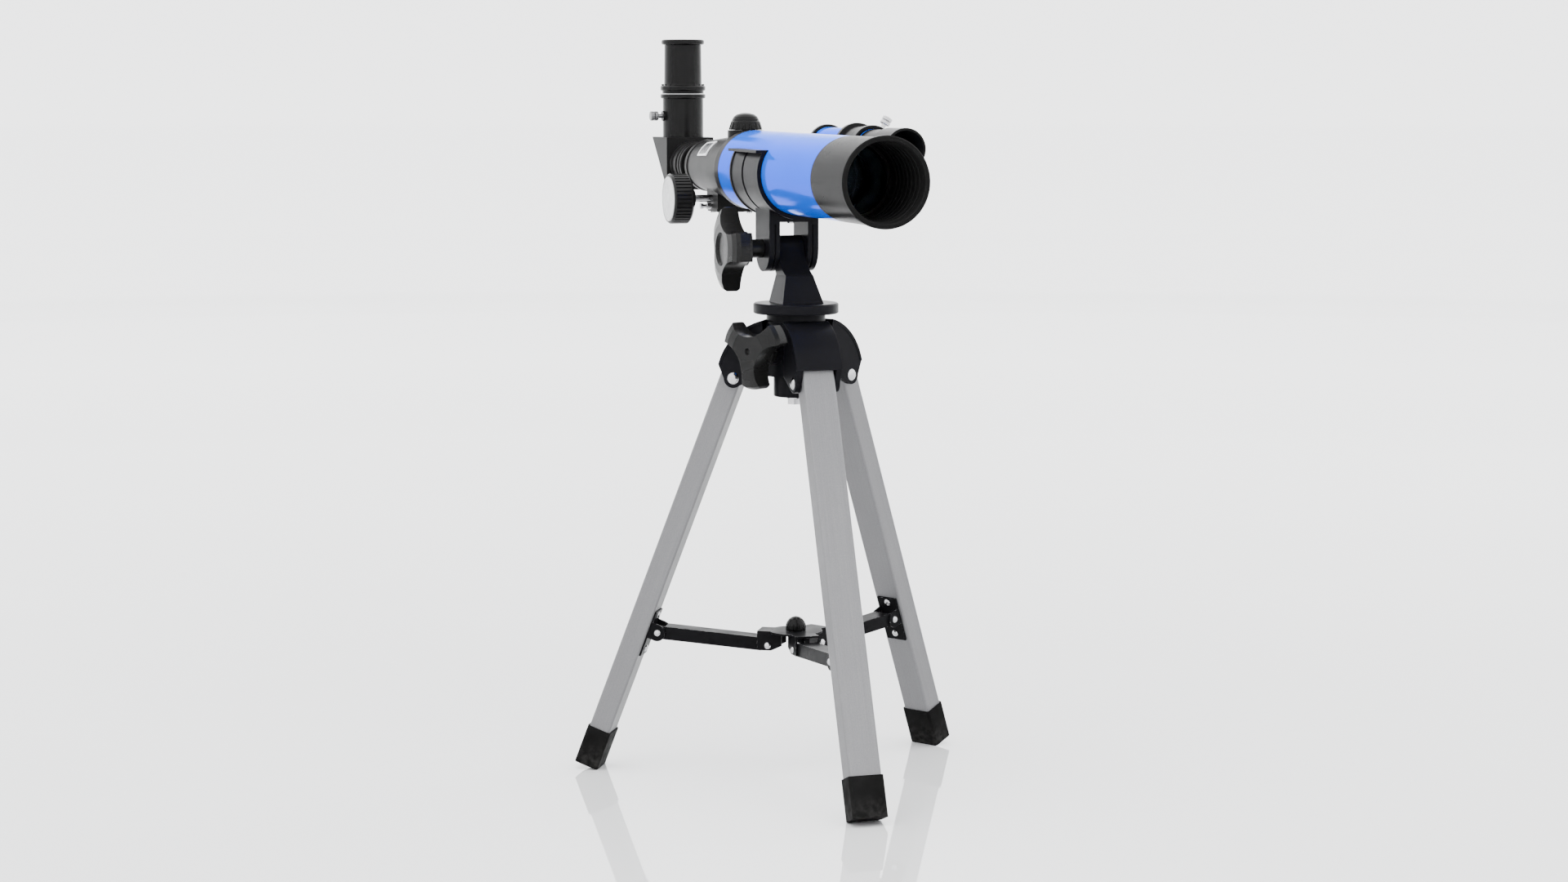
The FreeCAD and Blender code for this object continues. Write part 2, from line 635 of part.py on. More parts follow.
def eyepiece_body():
    z = eyepiece_base()
    top = EYEPIECE_TOP
    bore = EYEPIECE_R - 2.2
    body = turned_z([(bore, z), (15.0, z), (15.0, z + 1.8), (RING_R - 0.5, z + 2.2), (RING_R, z + 2.8),
                     (RING_R, z + 5.0), (RING_R - 0.8, z + 5.8), (EYEPIECE_R + 0.3, z + 6.2), (EYEPIECE_R, z + 7.0),
                     (EYEPIECE_R - 0.3, top - 4.2), (15.0, top - 3.6), (15.5, top - 2.8), (15.5, top - 1.2),
                     (14.8, top - 0.3), (13.0, top), (7.0, top - 2.2), (7.0, top - 5.0), (bore, top - 5.0)])
    beads = []
    for i in range(20):
        bead = Part.makeSphere(0.6, V(EYEPIECE_R + 1.4, 0, z + 6.3))
        beads.append(turned_about(bead, V(0, 0, 0), UP, 18.0 * i))
    return body.multiFuse(beads).translated(V(0, EYE_Y, AXIS_Z))


def eyepiece_barrel():
    z = eyepiece_base()
    r = EYE_BORE_R - RUN_GAP
    inner = EYEPIECE_R - 2.2 - SEAT_GAP
    barrel = turned_z([(r - 1.0, z - EYE_BARREL_LENGTH), (r - 0.4, z - EYE_BARREL_LENGTH),
                       (r, z - EYE_BARREL_LENGTH + 0.4), (r, z - SEAT_GAP), (inner, z - SEAT_GAP), (inner, z + 3.0),
                       (inner - 1.0, z + 3.0), (r - 1.0 - 1.0, z - 1.0), (r - 1.0, z - 3.0)])
    return barrel.translated(V(0, EYE_Y, AXIS_Z))


def eyepiece_lenses():
    z = eyepiece_base()
    top = EYEPIECE_TOP
    inner = EYEPIECE_R - 2.2 - 2 * SEAT_GAP
    eye = turned_z([(0, top - 9.4), (6.0, top - 8.6), (inner, top - 8.6), (inner, top - 5.2), (6.6, top - 5.2),
                    (3.0, top - 5.05), (0, top - 5.05)])
    field_r = EYEPIECE_R - 2.2 - SEAT_GAP - 1.0 - SEAT_GAP
    field = turned_z([(0, z + 3.8), (5.0, z + 4.0), (field_r, z + 5.0), (field_r, z + 7.4), (0, z + 7.4)])
    return Part.makeCompound([eye, field]).translated(V(0, EYE_Y, AXIS_Z))


# ================================================================ finder
def place_finder(shape):
    """Carry a shape built round the Y axis out to the finder's axis."""
    shifted = shape.translated(V(0, 0, FINDER_OFFSET))
    return turned_about(shifted, V(0, 0, 0), V(0, 1, 0), FINDER_ANGLE).translated(V(0, 0, AXIS_Z))


def finder_tube():
    front = SLEEVE_FRONT - 1.0
    return place_finder(tube_y(FINDER_R, FINDER_BORE_R, front, FINDER_REAR - 4.0, 0))


def finder_hood():
    rear = SLEEVE_FRONT - 1.0 - SEAT_GAP
    hood = turned_y([(FINDER_BORE_R - 1.4, rear - 1.4), (FINDER_BORE_R - SEAT_GAP, rear - 1.4),
                     (FINDER_BORE_R - SEAT_GAP, rear + 7.0), (FINDER_BORE_R - 1.4, rear + 7.0)], 0)
    shell = turned_y([(FINDER_BORE_R - 1.4, rear), (FINDER_R, rear), (FINDER_R, -60.0), (FINDER_HOOD_R - 0.4, -65.0),
                      (FINDER_HOOD_R, FINDER_FRONT + 0.5), (FINDER_HOOD_R - 0.4, FINDER_FRONT),
                      (FINDER_HOOD_R - 1.5, FINDER_FRONT), (FINDER_HOOD_R - 2.0, -66.0),
                      (FINDER_BORE_R - 1.4, -63.0)], 0)
    return place_finder(fuse_all([hood, shell]))


def finder_rear():
    face = FINDER_REAR - 4.0
    body = turned_y([(5.0, face - 6.0), (FINDER_BORE_R - SEAT_GAP, face - 6.0), (FINDER_BORE_R - SEAT_GAP, face),
                     (FINDER_R + 0.4, face), (13.3, face + 0.8), (13.3, face + 4.0), (12.6, face + 4.6), (8.4, face + 5.0),
                     (8.2, face + 18.0), (7.6, face + 18.8), (5.0, face + 17.6)], 0)
    return place_finder(body)


def finder_lenses():
    rear = SLEEVE_FRONT - 1.0 - SEAT_GAP
    r = FINDER_BORE_R - 1.4 - SEAT_GAP
    front = turned_y([(0, rear + 1.0), (r, rear + 1.0), (r, rear - 1.4), (r * 0.6, rear - 2.2), (0, rear - 2.6)], 0)
    y = FINDER_REAR + 10.0
    eye = turned_y([(0, y - 1.4), (5.0 - SEAT_GAP, y - 1.0), (5.0 - SEAT_GAP, y + 1.0), (0, y + 1.6)], 0)
    return Part.makeCompound([place_finder(front), place_finder(eye)])


def finder_screw_hole(angle):
    hole = rod(FINDER_SCREW_R + RUN_GAP, V(0, FINDER_SCREW_Y, FINDER_R + 0.1), V(0, FINDER_SCREW_Y, 20.0))
    return turned_about(hole, V(0, 0, 0), V(0, 1, 0), angle)


def finder_bracket():
    """Sleeve with two rims on a curved foot that is screwed to the main tube."""
    bore = FINDER_R + SEAT_GAP
    sleeve = turned_y([(bore, 0.0), (14.8, 0.0), (15.1, -0.6), (15.1, -4.4), (14.6, -5.0), (12.9, -5.6), (12.9, -26.0),
                       (13.8, -26.8), (14.0, SLEEVE_FRONT + 0.8), (13.4, SLEEVE_FRONT), (bore, SLEEVE_FRONT)], 0)
    bore_rod = rod(bore, V(0, 1, 0), V(0, SLEEVE_FRONT - 1, 0))
    rib = box(-5.0, 5.0, SLEEVE_FRONT + 2.0, FINDER_FOOT_REAR - 0.5, -18.0, -bore + 0.3)
    sleeve = fuse_all([sleeve, rib]).cut(bore_rod).translated(V(0, 0, FINDER_OFFSET))
    inner = TUBE_R + SEAT_GAP
    thick = inner + FINDER_FOOT_WALL
    foot = turned_y([(inner, FINDER_FOOT_REAR), (thick, FINDER_FOOT_REAR), (thick, FINDER_FOOT_FRONT),
                     (inner, FINDER_FOOT_FRONT)], 0)
    wedge = face_of([V(0, 10, 0), V(-14, 10, 40), V(14, 10, 40)]).extrude(V(0, -70, 0))
    foot = foot.common(wedge)
    body = sleeve.fuse(foot).cut(rod(inner, V(0, 20, 0), V(0, -60, 0))).removeSplitter()
    for angle in FINDER_SCREW_ANGLES.values():
        body = body.cut(finder_screw_hole(angle).translated(V(0, 0, FINDER_OFFSET)))
    for y in FINDER_SCREW_ROWS:
        body = body.cut(rod(SCREW_HOLE_R, V(0, y, inner - 2), V(0, y, inner + 3)))
    return turned_about(body, V(0, 0, 0), V(0, 1, 0), FINDER_ANGLE).translated(V(0, 0, AXIS_Z))


def finder_screw_seats():
    seats = []
    a = math.radians(FINDER_ANGLE)
    out = V(math.sin(a), 0, math.cos(a))
    for y in FINDER_SCREW_ROWS:
        seats.append((out * (TUBE_R + FINDER_FOOT_WALL + 2 * SEAT_GAP) + V(0, y, AXIS_Z), out))
    return seats


def finder_screw(angle):
    screw = thumbscrew(FINDER_SCREW_R, 5.2, 3.3, 5.0).translated(V(0, FINDER_SCREW_Y, FINDER_R + 0.3))
    return place_finder(turned_about(screw, V(0, FINDER_SCREW_Y, 0), V(0, 1, 0), angle))


# ================================================================ cradle and pedestal
def cradle_screw_rows():
    return (PIVOT_Y - 8.0, PIVOT_Y + 8.0)


def cradle():
    """Half-round saddle with a lip along each top edge and two ears below it."""
    inner = TUBE_R + SEAT_GAP
    outer = inner + SADDLE_WALL
    mid = (SADDLE_FRONT + SADDLE_REAR) / 2 + 3.5
    band = turned_y([(inner, SADDLE_FRONT), (outer + 0.7, SADDLE_FRONT), (outer + 0.7, SADDLE_FRONT + 2.4),
                     (outer, SADDLE_FRONT + 3.0), (outer, mid - 1.8), (outer - 1.5, mid - 1.3), (outer - 1.5, mid + 1.3),
                     (outer, mid + 1.8), (outer, SADDLE_REAR - 3.0), (outer + 0.7, SADDLE_REAR - 2.4),
                     (outer + 0.7, SADDLE_REAR), (inner, SADDLE_REAR)], 0)
    keep = box(-40, 40, SADDLE_FRONT - 1, SADDLE_REAR + 1, -40, SADDLE_LIP_Z)
    parts = [band.common(keep)]
    for side in (-1, 1):
        edges = sorted((side * 20.0, side * SADDLE_LIP_X[side]))
        parts.append(box(edges[0], edges[1], SADDLE_FRONT, SADDLE_REAR, SADDLE_LIP_Z - 1.8, SADDLE_LIP_Z))
    parts.append(box(-EAR_OUTER, EAR_OUTER, PIVOT_Y - EAR_R, PIVOT_Y + EAR_R, -WEB_BOTTOM, -20))
    drop = PIVOT_Z - AXIS_Z
    for side in (-1, 1):
        x0 = min(side * EAR_INNER, side * EAR_OUTER)
        plate = box(x0, x0 + EAR_OUTER - EAR_INNER, PIVOT_Y - EAR_R, PIVOT_Y + EAR_R, drop, -20)
        end = rod(EAR_R, V(x0, PIVOT_Y, drop), V(x0 + EAR_OUTER - EAR_INNER, PIVOT_Y, drop))
        parts += [plate, end]
    body = fuse_all(parts).cut(rod(inner, V(0, SADDLE_FRONT - 5, 0), V(0, SADDLE_REAR + 5, 0)))
    for side in (-1, 1):
        x = side * (EAR_INNER + 3.2)
        body = body.cut(ear_groove(x, drop))
    body = body.cut(rod(PIVOT_R + RUN_GAP, V(-30, PIVOT_Y, drop), V(30, PIVOT_Y, drop)))
    for y in cradle_screw_rows():
        body = body.cut(rod(SCREW_HOLE_R, V(0, y, -WEB_BOTTOM - 1), V(0, y, -20)))
    return body.translated(V(0, 0, AXIS_Z))


def ear_groove(x, drop):
    """Thin groove that runs round an ear's narrow edge."""
    ring = rod(EAR_R + 1, V(x - 0.6, PIVOT_Y, drop), V(x + 0.6, PIVOT_Y, drop))
    ring = ring.fuse(box(x - 0.6, x + 0.6, PIVOT_Y - EAR_R - 1, PIVOT_Y + EAR_R + 1, drop, -33))
    core = rod(EAR_R - 1.2, V(x - 1, PIVOT_Y, drop), V(x + 1, PIVOT_Y, drop))
    core = core.fuse(box(x - 1, x + 1, PIVOT_Y - EAR_R + 1.2, PIVOT_Y + EAR_R - 1.2, drop, -33))
    return ring.cut(core)


def pedestal():
    """Turntable disc and the leaning post whose rounded tongue stands between the ears."""
    half = EAR_INNER - BODY_GAP
    disc = turned_z([(0, DISC_BOTTOM), (DISC_R - 0.6, DISC_BOTTOM), (DISC_R, DISC_BOTTOM + 0.6), (DISC_R, DISC_TOP - 0.8),
                     (DISC_R - 0.8, DISC_TOP), (0, DISC_TOP)])
    crease = 332.0
    low = [V(-14.2, -15.6, DISC_TOP - 1), V(14.2, -15.6, DISC_TOP - 1), V(14.2, 14.0, DISC_TOP - 1),
           V(-14.2, 14.0, DISC_TOP - 1)]
    high = [V(-half, -7.5, crease), V(half, -7.5, crease), V(half, 13.5, crease), V(-half, 13.5, crease)]
    foot = Part.makeLoft([Part.makePolygon(low + [low[0]]), Part.makePolygon(high + [high[0]])], True, True)
    front = Part.Arc(V(-half, -7.5, crease), V(-half, 4.5, 339.5), V(-half, PIVOT_Y - 7.4, PIVOT_Z + 3.7)).toShape()
    top = Part.Arc(V(-half, PIVOT_Y - 7.4, PIVOT_Z + 3.7), V(-half, PIVOT_Y + 1.4, PIVOT_Z + TONGUE_R),
                   V(-half, PIVOT_Y + TONGUE_R, PIVOT_Z)).toShape()
    back = Part.makeLine(V(-half, PIVOT_Y + TONGUE_R, PIVOT_Z), V(-half, 13.5, crease))
    base = Part.makeLine(V(-half, 13.5, crease), V(-half, -7.5, crease))
    tongue = Part.Face(Part.Wire([front, top, back, base])).extrude(V(2 * half, 0, 0))
    body = fuse_all([disc, foot, tongue])
    body = body.cut(rod(PIVOT_R + SEAT_GAP, V(-30, PIVOT_Y, PIVOT_Z), V(30, PIVOT_Y, PIVOT_Z)))
    return body.cut(rod(AZ_BOLT_R + SEAT_GAP, V(0, 0, DISC_BOTTOM - 1), V(0, 0, DISC_BOTTOM + 10)))


def altitude_bolt():
    """Bolt through ears and tongue, its domed head on the left side."""
    start = V(EAR_OUTER + BODY_GAP + 1.2, PIVOT_Y, PIVOT_Z)
    shank = rod(PIVOT_R, V(-ALT_KNOB_X - 9.0, PIVOT_Y, PIVOT_Z), start)
    washer = rod(6.5, V(EAR_OUTER + BODY_GAP, PIVOT_Y, PIVOT_Z), start)
    head = Part.makeSphere(7.4, V(start.x - 4.4, PIVOT_Y, PIVOT_Z))
    head = head.common(box(start.x - 0.1, start.x + 10, PIVOT_Y - 9, PIVOT_Y + 9, PIVOT_Z - 9, PIVOT_Z + 9))
    return fuse_all([shank, washer, head])


# ================================================================ lobed lock knobs
def star_knob(form, stem_r, stem_depth, sleeve_r, sleeve_length):
    """Three-lobed knob along +Z: sleeve below 0, hub from 0, lobes above it."""
    base = STAR_HUB_LENGTH
    top = base + STAR_THICK
    tip = form["tip"]
    dish = form["dish"]
    blank = turned_z([(0, base), (tip - 2.0, base), (tip, base + 2.0), (tip, top - 5.5), (tip - 1.6, top - 3.0),
                      (tip - 6.0, top - 1.2), (tip - 12.0, top), (dish, top), (dish - 0.8, top - 1.6), (0, top - 2.0)])
    cuts = []
    for i in range(3):
        angle = math.radians(60 + 120 * i)
        d = form["valley"] + form["cut"]
        centre = V(d * math.cos(angle), d * math.sin(angle), base - 1)
        cuts.append(Part.makeCylinder(form["cut"], STAR_THICK + 2, centre, UP))
    star = blank.cut(Part.makeCompound(cuts))
    edges = [e for e in star.Edges if e.BoundBox.ZLength > 4 and e.BoundBox.XLength < 1 and e.BoundBox.YLength < 1]
    star = star.makeFillet(1.8, edges)
    hub = rod(min(STAR_HUB_R, form["valley"] + 1.5), V(0, 0, 0), V(0, 0, base + 1))
    parts = [star, hub]
    if sleeve_length > 0:
        parts.append(rod(sleeve_r, V(0, 0, -sleeve_length), V(0, 0, 1)))
    return fuse_all(parts).cut(rod(stem_r + SEAT_GAP, V(0, 0, -sleeve_length - 1), V(0, 0, stem_depth)))


def altitude_knob():
    sleeve = ALT_KNOB_X - EAR_OUTER - BODY_GAP
    knob = star_knob(ALT_STAR, PIVOT_R + RUN_GAP, 9.2, 6.1, sleeve)
    knob = turned_about(knob, V(0, 0, 0), UP, ALT_KNOB_TURN + 90.0)
    knob = turned_about(knob, V(0, 0, 0), V(0, 1, 0), -90)
    return knob.translated(V(-ALT_KNOB_X, PIVOT_Y, PIVOT_Z))


def azimuth_knob():
    """Lobed knob with its own screw stem, pointing out between two legs."""
    knob = star_knob(AZ_STAR, AZ_STEM_R - SEAT_GAP, 9.0, 0, 0)
    stem = rod(AZ_STEM_R, V(0, 0, AZ_BOLT_R + BODY_GAP - AZ_KNOB_START), V(0, 0, 9.0))
    whole = turned_about(knob.fuse(stem).removeSplitter(), V(0, 0, 0), V(0, 1, 0), 90)
    return turned_about(whole.translated(V(AZ_KNOB_START, 0, AZ_KNOB_Z)), V(0, 0, 0), UP, AZ_KNOB_ANGLE)


# ================================================================ tripod head
def hood(name):
    """Curved cover over one leg's top with an ear on each side, built along +X."""
    lip = V(HINGE_R + 9.8, 0, HINGE_Z + 9.0)
    mid = V(HINGE_R - 1.2, 0, HINGE_Z + 28.0)
    top = V(NECK_R, 0, HUB_TOP)
    inset = HOOD_WALL
    outer = Part.Arc(top, mid, lip).toShape()
    foot = Part.makeLine(lip, lip + V(-inset, 0, -0.3))
    inner = Part.Arc(lip + V(-inset, 0, -0.3), mid + V(-inset * 0.75, 0, -inset * 0.8), top + V(0, 0, -inset - 0.4)).toShape()
    close = Part.makeLine(top + V(0, 0, -inset - 0.4), top)
    shell = Part.Face(Part.Wire([outer, foot, inner, close])).extrude(V(0, 2 * HOOD_HALF, 0))
    shell = shell.translated(V(0, -HOOD_HALF, 0))
    ear_out = V(HINGE_R + HINGE_EAR_R, 0, HINGE_Z)
    ear_in = V(HINGE_R - HINGE_EAR_R * 0.6, 0, HINGE_Z - HINGE_EAR_R * 0.8)
    core_in = V(18.0, 0, HUB_CORE_BOTTOM + 1.5)
    solid = Part.Face(Part.Wire([outer, Part.makeLine(lip, ear_out), Part.makeLine(ear_out, ear_in),
                                 Part.makeLine(ear_in, core_in), Part.makeLine(core_in, top)]))
    ears = []
    wall = EAR_WALL
    for y in (-HOOD_HALF + 0.5, HOOD_HALF - 0.5 - wall):
        cheek = solid.extrude(V(0, wall, 0)).translated(V(0, y, 0))
        end = rod(HINGE_EAR_R, V(HINGE_R, y, HINGE_Z), V(HINGE_R, y + wall, HINGE_Z))
        ears += [cheek, end]
    return to_leg(fuse_all([shell] + ears), name)


def leg_space(name):
    """Room the leg's rounded top needs between the ears while it folds."""
    half = HOOD_HALF - 0.5 - EAR_WALL
    reach = 11.6
    room = rod(reach, V(HINGE_R, -half, HINGE_Z), V(HINGE_R, half, HINGE_Z))
    room = room.fuse(box(HINGE_R - reach, HINGE_R + reach, -half, half, HINGE_Z - 30, HINGE_Z))
    return to_leg(room, name)


def tripod_hub():
    core = turned_z([(0, HUB_CORE_BOTTOM), (HUB_CORE_R, HUB_CORE_BOTTOM), (HUB_CORE_R, HUB_TOP - 6), (NECK_R, HUB_TOP - 1),
                     (NECK_R, DISC_BOTTOM - BODY_GAP), (0, DISC_BOTTOM - BODY_GAP)])
    column = turned_z([(0, COLUMN_BOTTOM), (COLUMN_R - 0.6, COLUMN_BOTTOM), (COLUMN_R, COLUMN_BOTTOM + 0.6),
                       (COLUMN_R, HUB_CORE_BOTTOM + 1), (0, HUB_CORE_BOTTOM + 1)])
    boss = rod(9.5, V(HUB_CORE_R - 4, 0, AZ_KNOB_Z), V(AZ_KNOB_START - BODY_GAP, 0, AZ_KNOB_Z))
    boss = turned_about(boss, V(0, 0, 0), UP, AZ_KNOB_ANGLE)
    body = fuse_all([core, column, boss] + [hood(name) for name in LEG_ANGLES])
    for name in LEG_ANGLES:
        body = body.cut(leg_space(name))
    pin = rod(HINGE_PIN_R + SEAT_GAP, V(HINGE_R, -20, HINGE_Z), V(HINGE_R, 20, HINGE_Z))
    for name in LEG_ANGLES:
        body = body.cut(to_leg(pin, name))
    body = body.cut(rod(AZ_BOLT_R + RUN_GAP, V(0, 0, COLUMN_BOTTOM - 1), V(0, 0, DISC_TOP)))
    stem = rod(AZ_STEM_R + RUN_GAP, V(AZ_BOLT_R, 0, AZ_KNOB_Z), V(AZ_KNOB_START + 1, 0, AZ_KNOB_Z))
    return body.cut(turned_about(stem, V(0, 0, 0), UP, AZ_KNOB_ANGLE))


def azimuth_bolt():
    """Bolt that carries the turntable, with a dome nut under the hub."""
    top = DISC_BOTTOM + 9.0
    shank = rod(AZ_BOLT_R, V(0, 0, COLUMN_BOTTOM - 3.0), V(0, 0, top))
    washer = rod(6.2, V(0, 0, COLUMN_BOTTOM - BODY_GAP - 1.0), V(0, 0, COLUMN_BOTTOM - BODY_GAP))
    nut_points = []
    for i in range(6):
        a = math.radians(60 * i)
        nut_points.append(V(5.6 * math.cos(a), 5.6 * math.sin(a), COLUMN_BOTTOM - 5.2))
    nut = face_of(nut_points).extrude(V(0, 0, 4.0))
    return fuse_all([shank, washer, nut])


def hinge_pins():
    pins = []
    outer = HOOD_HALF - 0.5 + SEAT_GAP
    for name in LEG_ANGLES:
        shank = rod(HINGE_PIN_R, V(HINGE_R, -outer - 0.5, HINGE_Z), V(HINGE_R, outer + 0.5, HINGE_Z))
        parts = [shank]
        for side in (-1, 1):
            head = Part.makeSphere(5.2, V(HINGE_R, side * (outer - 3.4), HINGE_Z))
            y0 = min(side * outer, side * (outer + 4))
            parts.append(head.common(box(HINGE_R - 6, HINGE_R + 6, y0, y0 + 4, HINGE_Z - 6, HINGE_Z + 6)))
        pins.append(to_leg(fuse_all(parts), name))
    return Part.makeCompound(pins)


# ================================================================ legs
def lean(shape, name):
    """Take a shape built straight down from the hinge and lean it outwards."""
    leaned = turned_about(shape.translated(V(HINGE_R, 0, HINGE_Z)), V(HINGE_R, 0, HINGE_Z), V(0, 1, 0), -LEG_LEAN)
    return to_leg(leaned, name)


def leg_centre():
    return LEG_DEPTH / 2 - LEG_PIN_INSET


def leg_reach():
    """Distance down the leg from the hinge to the end of the foot cap."""
    a = math.radians(LEG_LEAN)
    inset = LEG_PIN_INSET + CAP_WALL
    return (HINGE_Z - inset * math.sin(a)) / math.cos(a)


def leg_tube(name):
    end = -leg_reach() + CAP_FLOOR + SEAT_GAP
    outer = rounded_bar(LEG_WIDTH, LEG_DEPTH, LEG_CORNER, end, LEG_TOP)
    inner = rounded_bar(LEG_WIDTH - 2 * LEG_WALL, LEG_DEPTH - 2 * LEG_WALL, LEG_CORNER - LEG_WALL, end - 1, LEG_TOP + 1)
    tube = outer.cut(inner).translated(V(leg_centre(), 0, 0))
    tube = tube.cut(rod(HINGE_PIN_R + RUN_GAP, V(0, -20, 0), V(0, 20, 0)))
    for z in plate_rivet_rows():
        tube = tube.cut(rod(RIVET_R + SEAT_GAP, V(-10, 0, z), V(0, 0, z)))
    return lean(tube, name)


def foot_cap(name):
    end = -leg_reach()
    depth = LEG_DEPTH + 2 * CAP_WALL
    width = LEG_WIDTH + 2 * CAP_WALL
    outer = rounded_bar(width, depth, LEG_CORNER + CAP_WALL * 0.3, end, end + CAP_HEIGHT)
    inner = rounded_bar(LEG_WIDTH + 2 * SEAT_GAP, LEG_DEPTH + 2 * SEAT_GAP, LEG_CORNER, end + CAP_FLOOR, end + CAP_HEIGHT + 1)
    return lean(outer.cut(inner).translated(V(leg_centre(), 0, 0)), name)


def in_leg_frame(radius, height):
    """Offset from the hinge, along X and Z of the upright leg, of a point at rest."""
    a = math.radians(LEG_LEAN)
    dx = radius - HINGE_R
    dz = height - HINGE_Z
    return V(dx * math.cos(a) + dz * math.sin(a), 0, -dx * math.sin(a) + dz * math.cos(a))


def plate_rivet_rows():
    pivot = in_leg_frame(ARM_PIVOT_R, ARM_PIVOT_Z)
    return (pivot.z + PLATE_ABOVE - 3.5, pivot.z - PLATE_BELOW + 4.5)


def leg_bracket(name):
    """Plate on the leg's inner face with two lugs that hold the arm's outer end."""
    pivot = in_leg_frame(ARM_PIVOT_R, ARM_PIVOT_Z)
    face = -LEG_PIN_INSET - SEAT_GAP
    plate = box(face - 1.2, face, -BRACKET_HALF, BRACKET_HALF, pivot.z - PLATE_BELOW, pivot.z + PLATE_ABOVE)
    parts = [plate]
    for side in (-1, 1):
        y0 = min(side * (BRACKET_HALF - BRACKET_WALL), side * BRACKET_HALF)
        parts.append(box(pivot.x, face, y0, y0 + BRACKET_WALL, pivot.z - 5.5, pivot.z + 5.5))
        parts.append(rod(5.5, V(pivot.x, y0, pivot.z), V(pivot.x, y0 + BRACKET_WALL, pivot.z)))
    body = fuse_all(parts)
    body = body.cut(rod(RIVET_R + SEAT_GAP, V(pivot.x, -20, pivot.z), V(pivot.x, 20, pivot.z)))
    for z in plate_rivet_rows():
        body = body.cut(rod(RIVET_R + SEAT_GAP, V(-20, 0, z), V(0, 0, z)))
    return lean(body, name)


def leg_rivets(name):
    """The plate's two rivets and the pin the arm turns on."""
    pivot = in_leg_frame(ARM_PIVOT_R, ARM_PIVOT_Z)
    face = -LEG_PIN_INSET - SEAT_GAP - 1.2
    rivets = []
    for z in plate_rivet_rows():
        shank = rod(RIVET_R, V(face, 0, z), V(-LEG_PIN_INSET + LEG_WALL, 0, z))
        head = dome(RIVET_HEAD_R, V(face - SEAT_GAP, 0, z), V(-1, 0, 0))
        rivets.append(shank.fuse(head).removeSplitter())
    half = BRACKET_HALF + SEAT_GAP
    pin = rod(RIVET_R, V(pivot.x, -half, pivot.z), V(pivot.x, half, pivot.z))
    heads = [dome(RIVET_HEAD_R, V(pivot.x, side * half, pivot.z), V(0, side, 0)) for side in (-1, 1)]
    rivets.append(fuse_all([pin] + heads))
    return lean(Part.makeCompound(rivets), name)


def dome(radius, place, outward):
    """Low round rivet head sitting on a face."""
    out = V(outward).normalize()
    ball = Part.makeSphere(radius * 1.15, place - out * radius * 0.55)
    slab = rod(radius * 1.5, place, place + out * radius * 2)
    return ball.common(slab)


# ================================================================ spreader
def arm_length():
    return math.hypot(ARM_PIVOT_R - SPREAD_PIVOT_R, ARM_PIVOT_Z - SPREAD_PIVOT_Z)


def spreader_arm(name):
    """Channel arm, open below, from the centre bracket out to one leg."""
    length = arm_length()
    top = 4.6
    low = top - ARM_HEIGHT
    outer = box(4.5, length - 2.0, -ARM_HALF, ARM_HALF, low, top)
    end = rod(ARM_END_R, V(length, -ARM_HALF, 0), V(length, ARM_HALF, 0))
    strap = box(length - 3.0, length, -ARM_HALF, ARM_HALF, -ARM_END_R, ARM_END_R)
    tip = rod(ARM_TIP_R, V(0, -ARM_HALF, 0), V(0, ARM_HALF, 0))
    neck = face_of([V(0, -ARM_HALF, ARM_TIP_R), V(0, -ARM_HALF, -ARM_TIP_R), V(6.5, -ARM_HALF, low), V(6.5, -ARM_HALF, top)])
    neck = neck.extrude(V(0, 2 * ARM_HALF, 0))
    body = fuse_all([outer, end, strap, tip, neck])
    inner = box(-5, length + 10, -ARM_HALF + ARM_WALL, ARM_HALF - ARM_WALL, low - 1, top - ARM_WALL)
    body = body.cut(inner).cut(box(-5, 7.5, -ARM_HALF + ARM_WALL, ARM_HALF - ARM_WALL, low - 1, top + 1))
    body = body.cut(box(length - 4.5, length + 10, -ARM_HALF + ARM_WALL, ARM_HALF - ARM_WALL, low - 1, top + 1))
    hole = rod(RIVET_R + RUN_GAP, V(length, -20, 0), V(length, 20, 0))
    body = body.cut(hole)
    slope = math.degrees(math.asin((ARM_PIVOT_Z - SPREAD_PIVOT_Z) / length))
    body = turned_about(body, V(0, 0, 0), V(0, 1, 0), -slope)
    return to_leg(body.translated(V(SPREAD_PIVOT_R, 0, SPREAD_PIVOT_Z)), name)


def spreader_bracket():
    """Three-armed centre plate with a pair of side flanges for each arm's end."""
    end = SPREAD_PIVOT_R + BRACKET_REACH
    under = BRACKET_TOP - BRACKET_WALL
    parts = [turned_z([(0, under), (17.5, under), (17.5, BRACKET_TOP), (0, BRACKET_TOP)])]
    for name in LEG_ANGLES:
        blade = [box(0, end, -BRACKET_HALF, BRACKET_HALF, under, BRACKET_TOP)]
        for side in (-1, 1):
            y0 = min(side * (BRACKET_HALF - BRACKET_WALL), side * BRACKET_HALF)
            flange = face_of([V(FLANGE_START, y0, under), V(FLANGE_START, y0, 0), V(SPREAD_PIVOT_R - 2.4, y0, -BRACKET_DROP),
                              V(end, y0, -BRACKET_DROP), V(end, y0, BRACKET_TOP), V(FLANGE_START, y0, BRACKET_TOP)])
            blade.append(flange.extrude(V(0, BRACKET_WALL, 0)))
        parts += [to_leg(shape, name) for shape in blade]
    body = fuse_all(parts).translated(V(0, 0, SPREAD_PIVOT_Z))
    return body.cut(rod(1.5 + RUN_GAP, V(0, 0, SPREAD_PIVOT_Z), V(0, 0, SPREAD_PIVOT_Z + 20)))


def spreader_rivets():
    """Rivet heads on the flanges; they stop at the flange, clear of the arm."""
    rivets = []
    half = BRACKET_HALF + SEAT_GAP
    for name in LEG_ANGLES:
        for side in (-1, 1):
            place = V(SPREAD_PIVOT_R, side * half, SPREAD_PIVOT_Z)
            rivets.append(to_leg(dome(RIVET_HEAD_R, place, V(0, side, 0)), name))
    return Part.makeCompound(rivets)


